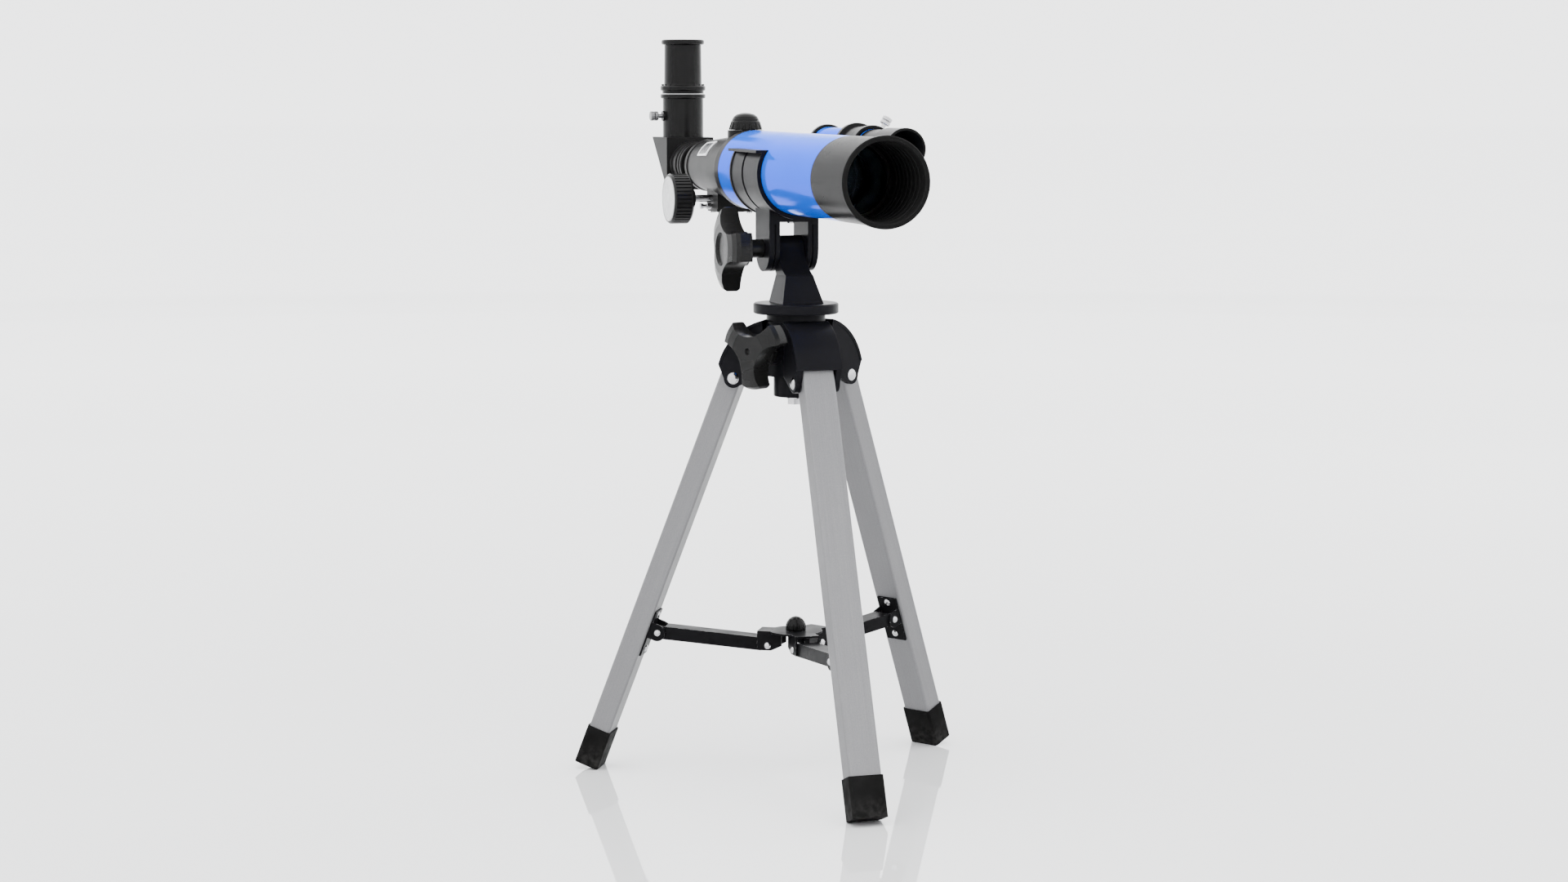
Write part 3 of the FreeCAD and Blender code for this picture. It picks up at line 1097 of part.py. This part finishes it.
def spreader_knob():
    """Small domed knob with a fluted edge on the centre plate, with its own screw."""
    z = SPREAD_PIVOT_Z + BRACKET_TOP + BODY_GAP
    cap = turned_z([(0, z), (SPREAD_KNOB_R, z), (SPREAD_KNOB_R, z + 3.4), (SPREAD_KNOB_R - 0.7, z + 5.4),
                    (SPREAD_KNOB_R - 2.2, z + 7.4), (SPREAD_KNOB_R - 4.2, z + 8.6), (0, z + 9.2)])
    cuts = []
    for i in range(12):
        notch = rod(0.6, V(SPREAD_KNOB_R + 0.2, 0, z - 1), V(SPREAD_KNOB_R + 0.2, 0, z + 5.0))
        cuts.append(turned_about(notch, V(0, 0, 0), UP, 30.0 * i))
    stem = rod(1.5, V(0, 0, z - 3.6), V(0, 0, z + 1))
    nut = rod(2.9, V(0, 0, z - 3.6), V(0, 0, z - BODY_GAP - BRACKET_WALL - BODY_GAP))
    return fuse_all([cap.cut(Part.makeCompound(cuts)), stem, nut])


# ================================================================ output
NODES = {
    "main_tube": main_tube,
    "objective_cell": objective_cell,
    "objective_lenses": objective_lenses,
    "lens_retainer": lens_retainer,
    "dew_shield": dew_shield,
    "tube_baffles": tube_baffles,
    "focuser_housing": focuser_housing,
    "pinion_cover": pinion_cover,
    "body_screws": body_screws,
    "label_plate": label_plate,
    "drawtube": drawtube,
    "rack": rack,
    "drawtube_collar": drawtube_collar,
    "pinion": pinion,
    "focus_knobs": focus_knobs,
    "knob_caps": knob_caps,
    "lock_knob": lock_knob,
    "diagonal_housing": diagonal_housing,
    "diagonal_mirror": diagonal_mirror,
    "diagonal_nosepiece": diagonal_nosepiece,
    "eyepiece_socket": eyepiece_socket,
    "eyepiece_screw": eyepiece_screw,
    "eyepiece_body": eyepiece_body,
    "eyepiece_barrel": eyepiece_barrel,
    "eyepiece_lenses": eyepiece_lenses,
    "finder_tube": finder_tube,
    "finder_hood": finder_hood,
    "finder_rear": finder_rear,
    "finder_lenses": finder_lenses,
    "finder_bracket": finder_bracket,
    "cradle": cradle,
    "pedestal": pedestal,
    "altitude_bolt": altitude_bolt,
    "altitude_knob": altitude_knob,
    "azimuth_knob": azimuth_knob,
    "azimuth_bolt": azimuth_bolt,
    "tripod_hub": tripod_hub,
    "hinge_pins": hinge_pins,
    "spreader_bracket": spreader_bracket,
    "spreader_rivets": spreader_rivets,
    "spreader_knob": spreader_knob,
}
LEG_NODES = {
    "leg_tube": leg_tube,
    "foot_cap": foot_cap,
    "leg_bracket": leg_bracket,
    "leg_rivets": leg_rivets,
    "spreader_arm": spreader_arm,
}

os.makedirs("parts", exist_ok=True)
for node, make in NODES.items():
    save(make(), node)
for node, angle in FINDER_SCREW_ANGLES.items():
    save(finder_screw(angle), node)
for node, make in LEG_NODES.items():
    for leg in LEG_ANGLES:
        save(make(leg), node + "_" + leg)
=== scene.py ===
import bpy
import json
import math
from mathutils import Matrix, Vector


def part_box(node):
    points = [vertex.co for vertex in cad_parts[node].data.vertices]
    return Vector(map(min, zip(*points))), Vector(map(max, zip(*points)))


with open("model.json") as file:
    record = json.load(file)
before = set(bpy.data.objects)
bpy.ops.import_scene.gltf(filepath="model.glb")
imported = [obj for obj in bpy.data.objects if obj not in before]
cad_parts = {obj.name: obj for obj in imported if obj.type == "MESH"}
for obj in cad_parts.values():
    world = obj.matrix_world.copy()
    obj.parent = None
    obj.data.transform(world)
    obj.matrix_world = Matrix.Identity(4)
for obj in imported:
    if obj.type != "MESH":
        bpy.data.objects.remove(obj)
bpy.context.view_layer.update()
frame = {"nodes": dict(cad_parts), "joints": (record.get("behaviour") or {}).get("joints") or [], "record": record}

# ---------------------------------------------------------------- camera, metres and degrees
CAMERA_DISTANCE = 2.023       # from the azimuth axis, level
CAMERA_AZIMUTH = -18.3
CAMERA_HEIGHT = 0.462
CAMERA_PITCH = -6.73
CAMERA_YAW = -0.22
CAMERA_LENS = 71.5
CAMERA_SENSOR = 36.0

# ---------------------------------------------------------------- room
FLOOR_RADIUS = 4.5
FLOOR_RISE = 2.6
FLOOR_RINGS = 24
FLOOR_SEGMENTS = 96
FLOOR_SHADE_NEAR = 0.5              # radius within which the floor is at its darkest, a painted shade round the object
FLOOR_SHADE_FAR = 3.0               # radius from which floor and backdrop are at their palest, where the painted shade ends
FLOOR_IOR = 2.2               # high, for a clear reflection of the legs
WORLD_COLOUR = (0.955, 0.955, 0.96)
WORLD_STRENGTH = 4.1
LAMPS = (                     # name, place, width, height, watts, colour
    ("overhead", (-0.2, -0.4, 2.4), 2.2, 1.6, 80.0, (1.0, 0.99, 0.97)),
    ("left_fill", (-2.3, -1.3, 1.3), 1.2, 1.8, 16.0, (0.99, 0.995, 1.0)),
    ("right_rim", (2.1, 0.7, 1.4), 0.7, 1.4, 22.0, (1.0, 1.0, 1.0)),
)

# ---------------------------------------------------------------- finish
SKIN_IOR = 1.08               # low, so that a white room leaves black parts black
GLASS_IOR = 1.07              # low, so that the lens doesn't mirror the room
DUST = (0.12, 0.118, 0.115)
SMOOTH_ANGLE = 32.0           # degrees; sharper edges stay sharp
LEGS = ("front", "right", "left")
LINED_TUBES = ("main_tube", "dew_shield", "finder_tube", "finder_hood", "objective_cell")
LABEL_RIM = 0.0021            # width of the label's pale rim along the tube
LABEL_RIM_ANGLE = 4.0         # the same, round the tube, in degrees


# ================================================================ material building
class Surface:
    """One procedural material: a Principled shader and the textures that feed it."""

    def __init__(self, name):
        self.material = bpy.data.materials.new(name)
        self.material.use_nodes = True
        self.nodes = self.material.node_tree.nodes
        self.links = self.material.node_tree.links
        self.nodes.clear()
        self.shader = self.nodes.new("ShaderNodeBsdfPrincipled")
        output = self.nodes.new("ShaderNodeOutputMaterial")
        self.links.new(self.shader.outputs["BSDF"], output.inputs["Surface"])
        self.place = self.nodes.new("ShaderNodeTexCoord").outputs["Object"]
        self.normal = None

    def put(self, socket, value):
        if isinstance(value, bpy.types.NodeSocket):
            self.links.new(value, socket)
        elif isinstance(value, tuple) and len(value) == 3 and socket.type == "RGBA":
            socket.default_value = (*value, 1.0)
        else:
            socket.default_value = value

    def set(self, name, value):
        self.put(self.shader.inputs[name], value)

    def turned(self, direction):
        """Coordinates whose Z runs along a direction, so a stretched texture follows it."""
        mapping = self.nodes.new("ShaderNodeMapping")
        mapping.vector_type = "TEXTURE"
        turn = Vector(direction).to_track_quat("Z", "Y").to_euler()
        mapping.inputs["Rotation"].default_value = turn
        self.links.new(self.place, mapping.inputs["Vector"])
        return mapping.outputs["Vector"]

    def stretched(self, place, scale):
        mapping = self.nodes.new("ShaderNodeMapping")
        mapping.inputs["Scale"].default_value = scale
        self.links.new(place, mapping.inputs["Vector"])
        return mapping.outputs["Vector"]

    def noise(self, scale, detail=3.0, place=None, rough=0.55):
        node = self.nodes.new("ShaderNodeTexNoise")
        node.inputs["Scale"].default_value = scale
        node.inputs["Detail"].default_value = detail
        node.inputs["Roughness"].default_value = rough
        self.links.new(place or self.place, node.inputs["Vector"])
        return node.outputs["Fac"]

    def remap(self, value, low, high, start=0.3, end=0.7):
        node = self.nodes.new("ShaderNodeMapRange")
        self.put(node.inputs["Value"], value)
        node.inputs["From Min"].default_value = start
        node.inputs["From Max"].default_value = end
        node.inputs["To Min"].default_value = low
        node.inputs["To Max"].default_value = high
        return node.outputs["Result"]

    def math(self, kind, a, b=0.0):
        node = self.nodes.new("ShaderNodeMath")
        node.operation = kind
        self.put(node.inputs[0], a)
        self.put(node.inputs[1], b)
        return node.outputs[0]

    def blend(self, factor, a, b):
        node = self.nodes.new("ShaderNodeMix")
        node.data_type = "RGBA"
        self.put(node.inputs["Factor"], factor)
        self.put(node.inputs["A"], a)
        self.put(node.inputs["B"], b)
        return node.outputs["Result"]

    def axis(self, index):
        node = self.nodes.new("ShaderNodeSeparateXYZ")
        self.links.new(self.place, node.inputs[0])
        return node.outputs[index]

    def round_edges(self, radius):
        node = self.nodes.new("ShaderNodeBevel")
        node.samples = 4
        node.inputs["Radius"].default_value = radius
        self.normal = node.outputs["Normal"]

    def edges(self):
        """1 on sharp outer edges, falling to 0 a bevel radius away."""
        geometry = self.nodes.new("ShaderNodeNewGeometry")
        dot = self.nodes.new("ShaderNodeVectorMath")
        dot.operation = "DOT_PRODUCT"
        self.links.new(self.normal, dot.inputs[0])
        self.links.new(geometry.outputs["Normal"], dot.inputs[1])
        return self.remap(dot.outputs["Value"], 1.0, 0.0, 0.62, 0.94)

    def upward(self):
        """1 on faces that look up at rest, where dust settles."""
        place = self.nodes.new("ShaderNodeTexCoord").outputs["Normal"]
        split = self.nodes.new("ShaderNodeSeparateXYZ")
        self.links.new(place, split.inputs[0])
        return self.remap(split.outputs["Z"], 0.0, 1.0, 0.35, 1.0)

    def bump(self, height, strength, distance):
        node = self.nodes.new("ShaderNodeBump")
        node.inputs["Strength"].default_value = strength
        node.inputs["Distance"].default_value = distance
        self.links.new(height, node.inputs["Height"])
        if self.normal is not None:
            self.links.new(self.normal, node.inputs["Normal"])
        self.normal = node.outputs["Normal"]

    def done(self):
        if self.normal is not None:
            self.links.new(self.normal, self.shader.inputs["Normal"])
        return self.material


def scaled(colour, factor):
    return tuple(min(1.0, c * factor) for c in colour)


def paint(name, colour, rough, peel):
    """Sprayed gloss enamel: faint orange peel, handling smudges and a little settled dust."""
    s = Surface(name)
    drift = s.remap(s.noise(7.0, 2.0), 0.0, 1.0)
    body = s.blend(drift, scaled(colour, 0.93), scaled(colour, 1.06))
    specks = s.remap(s.noise(620.0, 2.0), 0.0, 0.5, 0.66, 0.78)
    dust = s.math("MULTIPLY", s.math("MULTIPLY", specks, s.upward()), 0.3)
    s.set("Base Color", s.blend(dust, body, (0.04, 0.15, 0.48)))
    smudge = s.remap(s.noise(26.0, 5.0), rough, rough + 0.10, 0.42, 0.70)
    s.set("Roughness", s.math("ADD", smudge, s.math("MULTIPLY", dust, 0.25)))
    s.set("IOR", SKIN_IOR)
    s.set("Metallic", 0.40)
    s.set("Specular Tint", (0.04, 0.25, 1.0))
    s.bump(s.noise(340.0, 2.0), peel, 0.0002)
    return s.done()


def moulded(name, colour, rough, grain, edge=0.00035, dust_amount=0.08, ior=SKIN_IOR):
    """Moulded black plastic: fine skin grain, polished edges, dust on what looks up."""
    s = Surface(name)
    s.round_edges(edge)
    worn = s.math("MULTIPLY", s.edges(), s.remap(s.noise(160.0, 4.0), 0.15, 1.0))
    drift = s.remap(s.noise(18.0, 3.0), 0.0, 1.0)
    body = s.blend(drift, scaled(colour, 0.90), scaled(colour, 1.12))
    body = s.blend(s.math("MULTIPLY", worn, 0.5), body, scaled(colour, 4.0))
    specks = s.remap(s.noise(1400.0, 2.0), 0.0, dust_amount, 0.66, 0.80)
    dust = s.math("MULTIPLY", specks, s.upward())
    s.set("Base Color", s.blend(dust, body, DUST))
    patch = s.remap(s.noise(42.0, 3.0), rough - 0.012, rough + 0.018)
    s.set("Roughness", s.math("SUBTRACT", patch, s.math("MULTIPLY", worn, 0.08)))
    s.set("IOR", ior)
    s.bump(s.noise(1500.0, 3.0), grain, 0.0001)
    return s.done()


def enamelled(name, colour, rough):
    """Thin satin enamel on pressed steel, chipped to bright metal along its edges."""
    s = Surface(name)
    s.round_edges(0.0003)
    chip = s.math("MULTIPLY", s.edges(), s.remap(s.noise(420.0, 4.0), 0.0, 1.0, 0.52, 0.60))
    drift = s.remap(s.noise(30.0, 3.0), 0.0, 1.0)
    body = s.blend(drift, scaled(colour, 0.8), scaled(colour, 1.3))
    s.set("Base Color", s.blend(chip, body, (0.42, 0.42, 0.43)))
    s.set("Metallic", s.math("MULTIPLY", chip, 0.9))
    s.set("Roughness", s.remap(s.noise(60.0, 5.0), rough - 0.06, rough + 0.10))
    s.set("IOR", SKIN_IOR)
    s.bump(s.noise(700.0, 2.0), 0.12, 0.0001)
    return s.done()


def anodised(name, direction):
    """Clear-anodised extrusion: die lines along its length and fine matt etching."""
    s = Surface(name)
    s.round_edges(0.0003)
    along = s.turned(direction)
    lines = s.noise(1.0, 3.0, s.stretched(along, (1700.0, 1700.0, 5.0)))
    broad = s.noise(1.0, 2.0, s.stretched(along, (240.0, 240.0, 1.6)))
    tone = s.remap(lines, 0.0, 1.0)
    body = s.blend(tone, (0.118, 0.118, 0.122), (0.142, 0.142, 0.147))
    body = s.blend(s.remap(broad, 0.0, 0.30), body, (0.158, 0.158, 0.163))
    grit = s.remap(s.noise(1300.0, 2.0), 0.0, 0.45)
    s.set("Base Color", s.blend(grit, body, (0.092, 0.092, 0.096)))
    s.set("Metallic", 0.35)
    etched = s.remap(s.noise(34.0, 4.0), 0.42, 0.50)
    s.set("Roughness", s.math("ADD", etched, s.math("MULTIPLY", lines, 0.08)))
    s.bump(lines, 0.08, 0.00004)
    return s.done()


def rubber(name):
    """Soft black rubber: dull, blotchy, grey with floor dust low down."""
    s = Surface(name)
    s.round_edges(0.0006)
    low = s.remap(s.axis(2), 0.55, 0.0, 0.0, 0.020)
    dirt = s.math("MULTIPLY", low, s.remap(s.noise(260.0, 5.0), 0.0, 1.0, 0.40, 0.66))
    drift = s.remap(s.noise(50.0, 4.0), 0.0, 1.0)
    body = s.blend(drift, (0.003, 0.003, 0.003), (0.006, 0.006, 0.006))
    s.set("Base Color", s.blend(dirt, body, (0.030, 0.029, 0.028)))
    s.set("IOR", SKIN_IOR)
    s.set("Roughness", s.remap(s.noise(90.0, 4.0), 0.46, 0.68))
    s.bump(s.noise(1100.0, 3.0), 0.22, 0.00012)
    return s.done()


def plated(name, colour, rough, tarnish):
    """Nickel or chrome plate with hairline polish marks and slight tarnish."""
    s = Surface(name)
    s.round_edges(0.0002)
    drift = s.remap(s.noise(85.0, 4.0), 0.0, tarnish)
    s.set("Base Color", s.blend(drift, colour, scaled(colour, 0.55)))
    s.set("Metallic", 1.0)
    marks = s.noise(1.0, 2.0, s.stretched(s.place, (240.0, 2400.0, 240.0)))
    s.set("Roughness", s.remap(marks, rough, rough + 0.10))
    s.bump(marks, 0.05, 0.00003)
    return s.done()


def turned_metal(name, colour, centre):
    """Face-turned disc: fine rings round its own axis, which runs along X."""
    s = Surface(name)
    x, y, z = s.axis(0), s.axis(1), s.axis(2)
    dy = s.math("SUBTRACT", y, centre.y)
    dz = s.math("SUBTRACT", z, centre.z)
    radius = s.math("SQRT", s.math("ADD", s.math("MULTIPLY", dy, dy), s.math("MULTIPLY", dz, dz)))
    rings = s.math("SINE", s.math("MULTIPLY", radius, 14000.0))
    stain = s.remap(s.noise(110.0, 5.0), 0.0, 0.5, 0.45, 0.75)
    s.set("Base Color", s.blend(stain, colour, scaled(colour, 0.62)))
    s.set("Metallic", 1.0)
    s.set("Roughness", s.remap(s.noise(60.0, 4.0), 0.20, 0.34))
    s.bump(rings, 0.10, 0.00003)
    return s.done()


def coated_glass(name):
    """Optical glass with a thin coating and wipe marks."""
    s = Surface(name)
    wipe = s.noise(1.0, 3.0, s.stretched(s.place, (60.0, 300.0, 60.0)))
    s.set("Base Color", (0.70, 0.76, 0.80))
    s.set("Transmission Weight", 1.0)
    s.set("IOR", GLASS_IOR)
    s.set("Roughness", s.remap(wipe, 0.02, 0.06))
    s.set("Specular Tint", (0.45, 0.65, 1.0))
    return s.done()


def silvered(name):
    s = Surface(name)
    s.set("Base Color", (0.90, 0.92, 0.93))
    s.set("Metallic", 1.0)
    s.set("Roughness", s.remap(s.noise(120.0, 4.0), 0.02, 0.08))
    return s.done()


def printed(name, colour, rough):
    """Printed foil: a whisper of mottling and soft scuffs."""
    s = Surface(name)
    drift = s.remap(s.noise(240.0, 4.0), 0.0, 1.0)
    s.set("Base Color", s.blend(drift, scaled(colour, 0.88), colour))
    s.set("Roughness", s.remap(s.noise(60.0, 4.0), rough, rough + 0.15))
    s.bump(s.noise(900.0, 2.0), 0.06, 0.00005)
    return s.done()


# ================================================================ finishes
def middle(node):
    low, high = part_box(node)
    return (low + high) / 2


def leg_direction(name):
    """From a leg's foot cap up to its hinge, in the row frame."""
    top = frame_joint("leg_fold_" + name)
    return (Vector(top) - middle("foot_cap_" + name)).normalized()


def frame_joint(name):
    for joint in frame["joints"]:
        if joint["name"] == name:
            return joint["pos_m"]


def finishes():
    made = {
        "tube_paint": paint("tube_paint", (0.0, 0.10, 0.70), 0.09, 0.04),
        "black_satin": moulded("black_satin", (0.004, 0.004, 0.004), 0.40, 0.10, ior=1.12),
        "dew_shield_black": moulded("dew_shield_black", (0.005, 0.005, 0.005), 0.26, 0.08),
        "housing_black": moulded("housing_black", (0.007, 0.007, 0.007), 0.34, 0.14, ior=1.11),
        "drawtube_black": moulded("drawtube_black", (0.004, 0.004, 0.004), 0.22, 0.05),
        "knob_black": moulded("knob_black", (0.005, 0.005, 0.005), 0.26, 0.08, 0.0006, ior=1.20),
        "dome_black": moulded("dome_black", (0.003, 0.003, 0.003), 0.12, 0.03, 0.0005, ior=1.18),
        "eyepiece_black": moulded("eyepiece_black", (0.003, 0.003, 0.003), 0.22, 0.05, 0.0001, ior=1.18),
        "finder_black": moulded("finder_black", (0.004, 0.004, 0.004), 0.24, 0.06, ior=1.12),
        "mount_black": moulded("mount_black", (0.004, 0.004, 0.005), 0.30, 0.12, 0.0006, ior=1.11),
        "spreader_paint": enamelled("spreader_paint", (0.004, 0.004, 0.0045), 0.30),
        "foot_rubber": rubber("foot_rubber"),
        "bright_steel": plated("bright_steel", (0.46, 0.46, 0.47), 0.16, 0.55),
        "dark_steel": plated("dark_steel", (0.20, 0.20, 0.205), 0.26, 0.60),
        "knob_metal": turned_metal("knob_metal", (0.50, 0.505, 0.51), Vector(frame_joint("focus_turn"))),
        "barrel_chrome": plated("barrel_chrome", (0.74, 0.75, 0.76), 0.08, 0.15),
        "label_plate": printed("label_plate", (0.62, 0.63, 0.64), 0.30),
        "lens_glass": coated_glass("lens_glass"),
        "mirror": silvered("mirror"),
    }
    for name in LEGS:
        made["leg_aluminium_" + name] = anodised("leg_aluminium_" + name, leg_direction(name))
    return made


def smooth(obj):
    """Smooth shading that still breaks at real edges."""
    bpy.context.view_layer.objects.active = obj
    for other in bpy.context.selected_objects:
        other.select_set(False)
    obj.select_set(True)
    bpy.ops.object.shade_smooth_by_angle(angle=math.radians(SMOOTH_ANGLE))


def line_inside(node, name):
    """Gives the faces that look in at a tube's own axis a dead black finish."""
    obj = frame["nodes"][node]
    obj.data.materials.append(moulded(name, (0.007, 0.007, 0.007), 0.55, 0.10, ior=1.06))
    axis = middle(node)
    for face in obj.data.polygons:
        out = face.center - axis
        if out.x * face.normal.x + out.z * face.normal.z < 0:
            face.material_index = len(obj.data.materials) - 1


def dress(made):
    for part in frame["record"]["subparts"]:
        node, kind = part["node"], part["material_slot"]
        key = kind
        if kind == "leg_aluminium":
            key = kind + "_" + node.rsplit("_", 1)[1]
        obj = frame["nodes"][node]
        obj.data.materials.clear()
        obj.data.materials.append(made[key])


def face_label():
    """The label's sunken middle is dark and its raised rim pale."""
    obj = frame["nodes"]["label_plate"]
    obj.data.materials.append(printed("label_middle", (0.030, 0.032, 0.036), 0.22))
    low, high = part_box("label_plate")
    axis = middle("main_tube")
    angles = [math.degrees(math.atan2(v.co.z - axis.z, -(v.co.x - axis.x))) for v in obj.data.vertices]
    first, last = min(angles) + LABEL_RIM_ANGLE, max(angles) - LABEL_RIM_ANGLE
    for face in obj.data.polygons:
        x, y, z = face.center
        angle = math.degrees(math.atan2(z - axis.z, -(x - axis.x)))
        inside = low.y + LABEL_RIM < y < high.y - LABEL_RIM and first < angle < last
        face.material_index = 1 if inside else 0


# ================================================================ room, light and camera
def floor_and_backdrop():
    """A pale round floor that curves up into its own backdrop, with painted shade darkening it near the middle."""
    points, faces = [(0.0, 0.0, 0.0)], []
    for ring in range(1, FLOOR_RINGS + 1):
        share = ring / FLOOR_RINGS
        radius = FLOOR_RADIUS * share / 0.5
        height = 0.0
        if share > 0.5:
            turn = (share - 0.5) * math.pi
            radius = FLOOR_RADIUS + FLOOR_RISE * math.sin(turn)
            height = FLOOR_RISE * (1.0 - math.cos(turn))
        for k in range(FLOOR_SEGMENTS):
            a = 2 * math.pi * k / FLOOR_SEGMENTS
            points.append((radius * math.cos(a), radius * math.sin(a), height))
    for k in range(FLOOR_SEGMENTS):
        faces.append((0, 1 + k, 1 + (k + 1) % FLOOR_SEGMENTS))
    for ring in range(FLOOR_RINGS - 1):
        base = 1 + ring * FLOOR_SEGMENTS
        for k in range(FLOOR_SEGMENTS):
            n = (k + 1) % FLOOR_SEGMENTS
            faces.append((base + k, base + FLOOR_SEGMENTS + k, base + FLOOR_SEGMENTS + n, base + n))
    mesh = bpy.data.meshes.new("floor")
    mesh.from_pydata(points, [], faces)
    mesh.shade_smooth()
    floor = bpy.data.objects.new("floor", mesh)
    bpy.context.scene.collection.objects.link(floor)
    s = Surface("floor")
    drift = s.remap(s.noise(1.4, 3.0), 0.0, 1.0)
    # painted shade: a darker grey for the floor round the object
    shaded_near = s.blend(drift, (0.50, 0.505, 0.51), (0.53, 0.535, 0.54))
    x, y = s.axis(0), s.axis(1)
    away = s.math("SQRT", s.math("ADD", s.math("MULTIPLY", x, x), s.math("MULTIPLY", y, y)))
    # painted shade: the floor colour darkens towards the middle, then fades to the pale far floor and backdrop
    s.set("Base Color", s.blend(s.remap(away, 0.0, 1.0, FLOOR_SHADE_NEAR, FLOOR_SHADE_FAR), shaded_near, (0.90, 0.905, 0.91)))
    s.set("Roughness", s.remap(s.noise(5.0, 4.0), 0.025, 0.045))
    s.set("IOR", FLOOR_IOR)
    mesh.materials.append(s.done())


def softbox(name, place, aim, width, height, power, colour):
    data = bpy.data.lights.new(name, "AREA")
    data.shape = "RECTANGLE"
    data.size = width
    data.size_y = height
    data.energy = power
    data.color = colour
    lamp = bpy.data.objects.new(name, data)
    lamp.location = place
    lamp.rotation_euler = (Vector(aim) - Vector(place)).to_track_quat("-Z", "Y").to_euler()
    lamp.visible_glossy = False
    bpy.context.scene.collection.objects.link(lamp)


def lights():
    world = bpy.data.worlds.new("studio")
    bpy.context.scene.world = world
    world.use_nodes = True
    sky = world.node_tree.nodes["Background"]
    sky.inputs["Color"].default_value = (*WORLD_COLOUR, 1.0)
    sky.inputs["Strength"].default_value = WORLD_STRENGTH
    aim = middle("cradle")
    for name, place, width, height, power, colour in LAMPS:
        softbox(name, place, aim, width, height, power, colour)


def camera():
    data = bpy.data.cameras.new("camera")
    data.lens = CAMERA_LENS
    data.sensor_width = CAMERA_SENSOR
    eye = bpy.data.objects.new("camera", data)
    a = math.radians(CAMERA_AZIMUTH)
    eye.location = (CAMERA_DISTANCE * math.sin(a), -CAMERA_DISTANCE * math.cos(a), CAMERA_HEIGHT)
    heading = -a + math.radians(CAMERA_YAW)
    pitch = math.radians(CAMERA_PITCH)
    level = math.cos(pitch)
    ahead = Vector((math.sin(heading) * level, math.cos(heading) * level, math.sin(pitch)))
    eye.rotation_euler = ahead.to_track_quat("-Z", "Y").to_euler()
    bpy.context.scene.collection.objects.link(eye)
    bpy.context.scene.camera = eye


for node_object in frame["nodes"].values():
    smooth(node_object)
dress(finishes())
face_label()
for tube_node in LINED_TUBES:
    line_inside(tube_node, tube_node + "_inside")
floor_and_backdrop()
lights()
camera()
